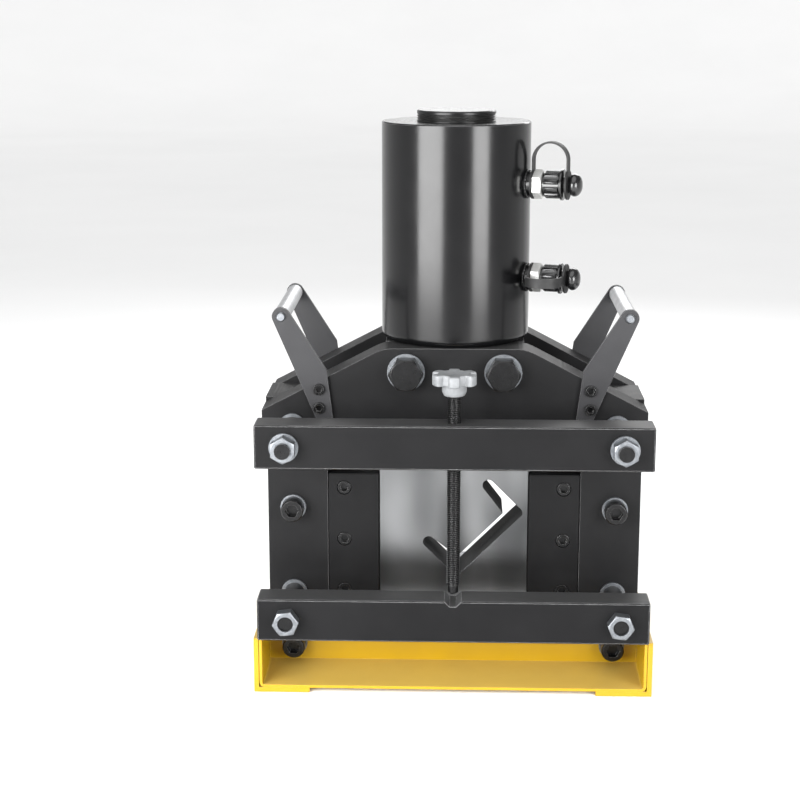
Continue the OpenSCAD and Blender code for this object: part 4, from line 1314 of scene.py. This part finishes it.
@dataclass
class StockClamp:
    """The two bars with their studs, and the clamp screw with its cast star knob."""

    axis: tuple[float, float] = (0.0, -137.5)
    pin_foot: float = 113.25
    pin_r: float = 3.5
    pin_chamfer: float = 0.8
    rod_foot: float = 119.25
    rod_top: float = 330.75
    crest_r: float = 7.0
    root_r: float = 5.8
    pitch: float = 2.0
    turn_points: int = 36
    pitch_levels: int = 8
    root_flat: float = 0.12
    flank_share: float = 0.7
    first_depth: float = 0.3
    hub_foot: float = 319.25
    knob_foot: float = 330.75
    knob_top: float = 342.25
    hub_r: float = 12.5
    lobe_r: float = 23.7
    web_r: float = 17.4
    lobes: int = 6
    lobe_half_deg: float = 16.5
    lobe_fall_in_deg: float = 5.0
    lobe_fall_deg: float = 9.0
    lobe_crown: float = 0.5
    knob_points: int = 288

    def dress(self) -> None:
        """Give the bars and their fasteners their finishes."""
        wear_finish(BAR_COAT, "upper_clamp_bar", "lower_clamp_bar", "stud_sleeves")
        wear_finish(BLACK_OXIDE, "clamp_studs", "swivel_tip")
        wear_finish(ZINC_PLATE, "stud_nuts", "stud_washers")

    def spindle(self) -> Spindle:
        """Return the clamp screw's upright axis."""
        return Spindle(
            Vector((self.axis[0], self.axis[1], 0.0)),
            Vector((0.0, 0.0, 1.0)),
            Vector((0.0, -1.0, 0.0)),
        )

    def thread_radius(self, height: float) -> Radius:
        """Return the right-handed thread's outline at a height.

        Args:
            height: Height over the ground in millimetres.

        Returns:
            The radius at an angle.
        """
        lead_in = min(1.0, (height - self.rod_foot) / self.pitch)
        depth = self.first_depth + (1 - self.first_depth) * lead_in

        def radius(angle: float) -> float:
            phase = ((height - self.rod_foot) / self.pitch - angle / FULL_TURN) % 1.0
            off_root = abs(2 * phase - 1) - self.root_flat
            flank = min(1.0, max(0.0, off_root / self.flank_share))
            return self.root_r + (self.crest_r - self.root_r) * flank * depth

        return radius

    def build_screw(self) -> None:
        """Cut the clamp screw's thread as one continuous helix, with its plain pin below."""
        spindle = self.spindle()
        pin = (
            (self.pin_foot, self.pin_r - self.pin_chamfer),
            (self.pin_foot + self.pin_chamfer, self.pin_r),
            (self.rod_foot - 0.02, self.pin_r),
            (self.rod_foot, self.root_r),
        )
        rings = spindle.round_rings(pin, self.turn_points)
        step = self.pitch / self.pitch_levels
        levels = int((self.rod_top - self.rod_foot) / step)
        for level in range(1, levels):
            height = self.rod_foot + level * step
            rings.append(spindle.ring(height, self.thread_radius(height), self.turn_points))
        rings += spindle.round_rings([(self.rod_top, self.root_r)], self.turn_points)
        place_piece(
            skin("threaded_clamp_rod", rings), BLACK_OXIDE, Part.CLAMP_ROD, "clamp_screw"
        )

    def lobed(self, inset: float) -> Radius:
        """Return the knob's six-lobed outline.

        Args:
            inset: How far the outline is drawn in, in millimetres.

        Returns:
            The radius at an angle.
        """
        step = 360 / self.lobes

        def radius(angle: float) -> float:
            off = abs((math.degrees(angle) + step / 2) % step - step / 2)
            past = off - self.lobe_half_deg + self.lobe_fall_in_deg
            fall = min(1.0, max(0.0, past / self.lobe_fall_deg))
            fall = fall * fall * (3 - 2 * fall)
            crown = self.lobe_crown * min(1.0, off / self.lobe_half_deg) ** 2
            return self.lobe_r - inset - crown - (self.lobe_r - self.web_r) * fall

        return radius

    def build_knob(self) -> None:
        """Cast the star knob: a tapered hub, soft corners and a shallow dish on top."""
        spindle = self.spindle()
        # Heights with radii, or with how far the lobes are drawn in. The small steps round off
        # the casting's corners.
        hub = (
            (self.hub_foot, self.hub_r * 0.8),
            (self.hub_foot + 0.4, self.hub_r * 0.85),
            (self.hub_foot + 4.2, self.hub_r - 0.1),
            (self.knob_foot - 0.6, self.hub_r),
            (self.knob_foot - 0.05, self.hub_r + 0.5),
        )
        lobes = (
            (self.knob_foot, 2.6),
            (self.knob_foot + 0.25, 1.2),
            (self.knob_foot + 1.1, 0.25),
            (self.knob_foot + 2.0, 0.0),
            (self.knob_top - 1.7, 0.0),
            (self.knob_top - 0.8, 0.35),
            (self.knob_top - 0.2, 1.2),
            (self.knob_top, 2.4),
        )
        dish = (
            (self.knob_top - 0.05, self.web_r - 3.2),
            (self.knob_top - 0.7, self.web_r - 5.0),
            (self.knob_top - 0.8, 3.0),
            (self.knob_top - 0.8, 0.3),
        )
        rings = spindle.round_rings(hub, self.knob_points)
        rings += [spindle.ring(h, self.lobed(inset), self.knob_points) for h, inset in lobes]
        rings += spindle.round_rings(dish, self.knob_points)
        place_piece(skin("cast_star_knob", rings), CAST_ALLOY, Part.CLAMP_ROD, "star_knob")


@dataclass
class Handles:
    """The two carrying handles: four flat arms and two tubes."""

    def dress(self) -> None:
        """Give the handles their finishes."""
        wear_finish(
            ARM_COAT, "left_front_arm", "left_rear_arm", "right_front_arm", "right_rear_arm"
        )
        wear_finish(ANODISED_TUBE, "left_grip", "right_grip")
        wear_finish(ZINC_PLATE, "grip_screws")
        wear_finish(BLACK_OXIDE, "arm_screws")


@dataclass
class Base:
    """The yellow base: two trays on two angle rails."""

    def dress(self) -> None:
        """Give the base its finishes."""
        wear_finish(
            YELLOW_COAT, "front_tray", "rear_tray", "left_angle_rail", "right_angle_rail"
        )
        wear_finish(BLACK_OXIDE, "tray_screws")
        wear_finish(ZINC_PLATE, "tray_screw_washers")


@dataclass(frozen=True)
class Softbox:
    """A flat studio light that is aimed at a point, sized in metres."""

    name: str
    place: tuple[float, float, float]
    aim: tuple[float, float, float]
    width: float
    height: float
    power: float

    def build(self) -> None:
        """Hang the light and turn it to its aim."""
        lamp = bpy.data.lights.new(self.name, "AREA")
        lamp.shape = "RECTANGLE"
        lamp.size = self.width
        lamp.size_y = self.height
        lamp.energy = self.power
        holder = bpy.data.objects.new(self.name, lamp)
        holder.location = self.place
        look = Vector(self.aim) - Vector(self.place)
        holder.rotation_euler = look.to_track_quat("-Z", "Y").to_euler()
        holder.visible_camera = False
        bpy.context.scene.collection.objects.link(holder)
        log.info("%s: %.0f W", self.name, self.power)


@dataclass
class Studio:
    """A pale studio: white floor and room, soft lights, and the camera of the photograph."""

    camera_place: tuple[float, float, float] = (0.003, -1.834, 0.700)
    camera_down_deg: float = 12.81
    camera_turn_deg: float = 1.95
    lens_mm: float = 77.63
    sensor_mm: float = 36.0
    floor_half: float = 14.0
    floor_rings: int = 24
    floor_points: int = 96
    floor_hole: float = 0.02
    floor_flat_share: float = 0.6
    floor_rise: float = 0.12
    floor_gap: float = 0.0004
    room_colour: str = "#ffffff"
    room_strength: float = 0.26
    sky_power: float = 2.2
    sky_spread_deg: float = 70.0
    sky_tilt_deg: tuple[float, float] = (22.0, -6.0)
    lights: tuple[Softbox, ...] = (
        Softbox("left_softbox", (-1.02, -1.25, 0.58), (0.0, 0.016, 0.5), 1.15, 0.86, 52.0),
        Softbox("right_softbox", (1.02, -1.3, 0.58), (0.0, 0.016, 0.5), 0.72, 0.86, 29.0),
        Softbox("rear_softbox", (0.35, 1.6, 1.35), (0.0, 0.016, 0.3), 1.2, 0.8, 18.0),
    )

    def build_floor(self) -> None:
        """Lay the floor as a fine grid with a gentle rise far away, so it fades into the room."""
        angles = [FULL_TURN * k / self.floor_points for k in range(self.floor_points)]
        rings = []
        for i in range(self.floor_rings + 1):
            reach = self.floor_half * (i / self.floor_rings) ** 2 + self.floor_hole
            past = max(0.0, reach - self.floor_half * self.floor_flat_share)
            height = past**2 * self.floor_rise - self.floor_gap
            rings.append(
                [Vector((reach * math.cos(a), reach * math.sin(a), height)) for a in angles]
            )
        floor = skin("studio_floor", rings, Ends.OPEN)
        floor.data.flip_normals()
        FLOOR_PAINT.dress(floor)

    def build_room(self) -> None:
        """Fill the room with even, pale light."""
        world = bpy.data.worlds.new("pale_room")
        world.use_nodes = True
        tree = world.node_tree
        tree.nodes.clear()
        light = add_node(
            tree,
            "ShaderNodeBackground",
            {"Color": linear(self.room_colour), "Strength": self.room_strength},
        )
        add_node(tree, "ShaderNodeOutputWorld", {"Surface": light.outputs["Background"]})
        bpy.context.scene.world = world

    def build_lights(self) -> None:
        """Hang the softboxes, and a wide overhead light that falls evenly on the floor."""
        for light in self.lights:
            light.build()
        lamp = bpy.data.lights.new("overhead_light", "SUN")
        lamp.energy = self.sky_power
        lamp.angle = math.radians(self.sky_spread_deg)
        holder = bpy.data.objects.new("overhead_light", lamp)
        across, along = self.sky_tilt_deg
        holder.rotation_euler = (math.radians(across), math.radians(along), 0.0)
        bpy.context.scene.collection.objects.link(holder)

    def build_camera(self) -> None:
        """Set the camera where the photograph was taken from."""
        lens = bpy.data.cameras.new("photo_camera")
        lens.lens = self.lens_mm
        lens.sensor_width = self.sensor_mm
        lens.dof.use_dof = False
        camera = bpy.data.objects.new("photo_camera", lens)
        camera.location = self.camera_place
        camera.rotation_euler = (
            math.radians(90 - self.camera_down_deg),
            0.0,
            math.radians(self.camera_turn_deg),
        )
        bpy.context.scene.collection.objects.link(camera)
        bpy.context.scene.camera = camera

    def build(self) -> None:
        """Build the whole studio."""
        bpy.context.scene.view_settings.view_transform = "Standard"
        self.build_camera()
        self.build_floor()
        self.build_room()
        self.build_lights()


def main() -> None:
    """Build the studio and the machine's sub-assemblies in order."""
    logging.basicConfig(level=logging.INFO, format="%(message)s")
    Studio().build()
    Body().dress()
    Blades().dress()
    cylinder = Cylinder()
    cylinder.dress()
    cylinder.build_welds()
    for port in (
        OilPort("upper", Part.UPPER_CAP, 519.0),
        OilPort("lower", Part.LOWER_CAP, 420.0),
    ):
        port.dress()
        port.build_cap()
    clamp = StockClamp()
    clamp.dress()
    clamp.build_screw()
    clamp.build_knob()
    Handles().dress()
    Base().dress()


if __name__ == "__main__":
    main()
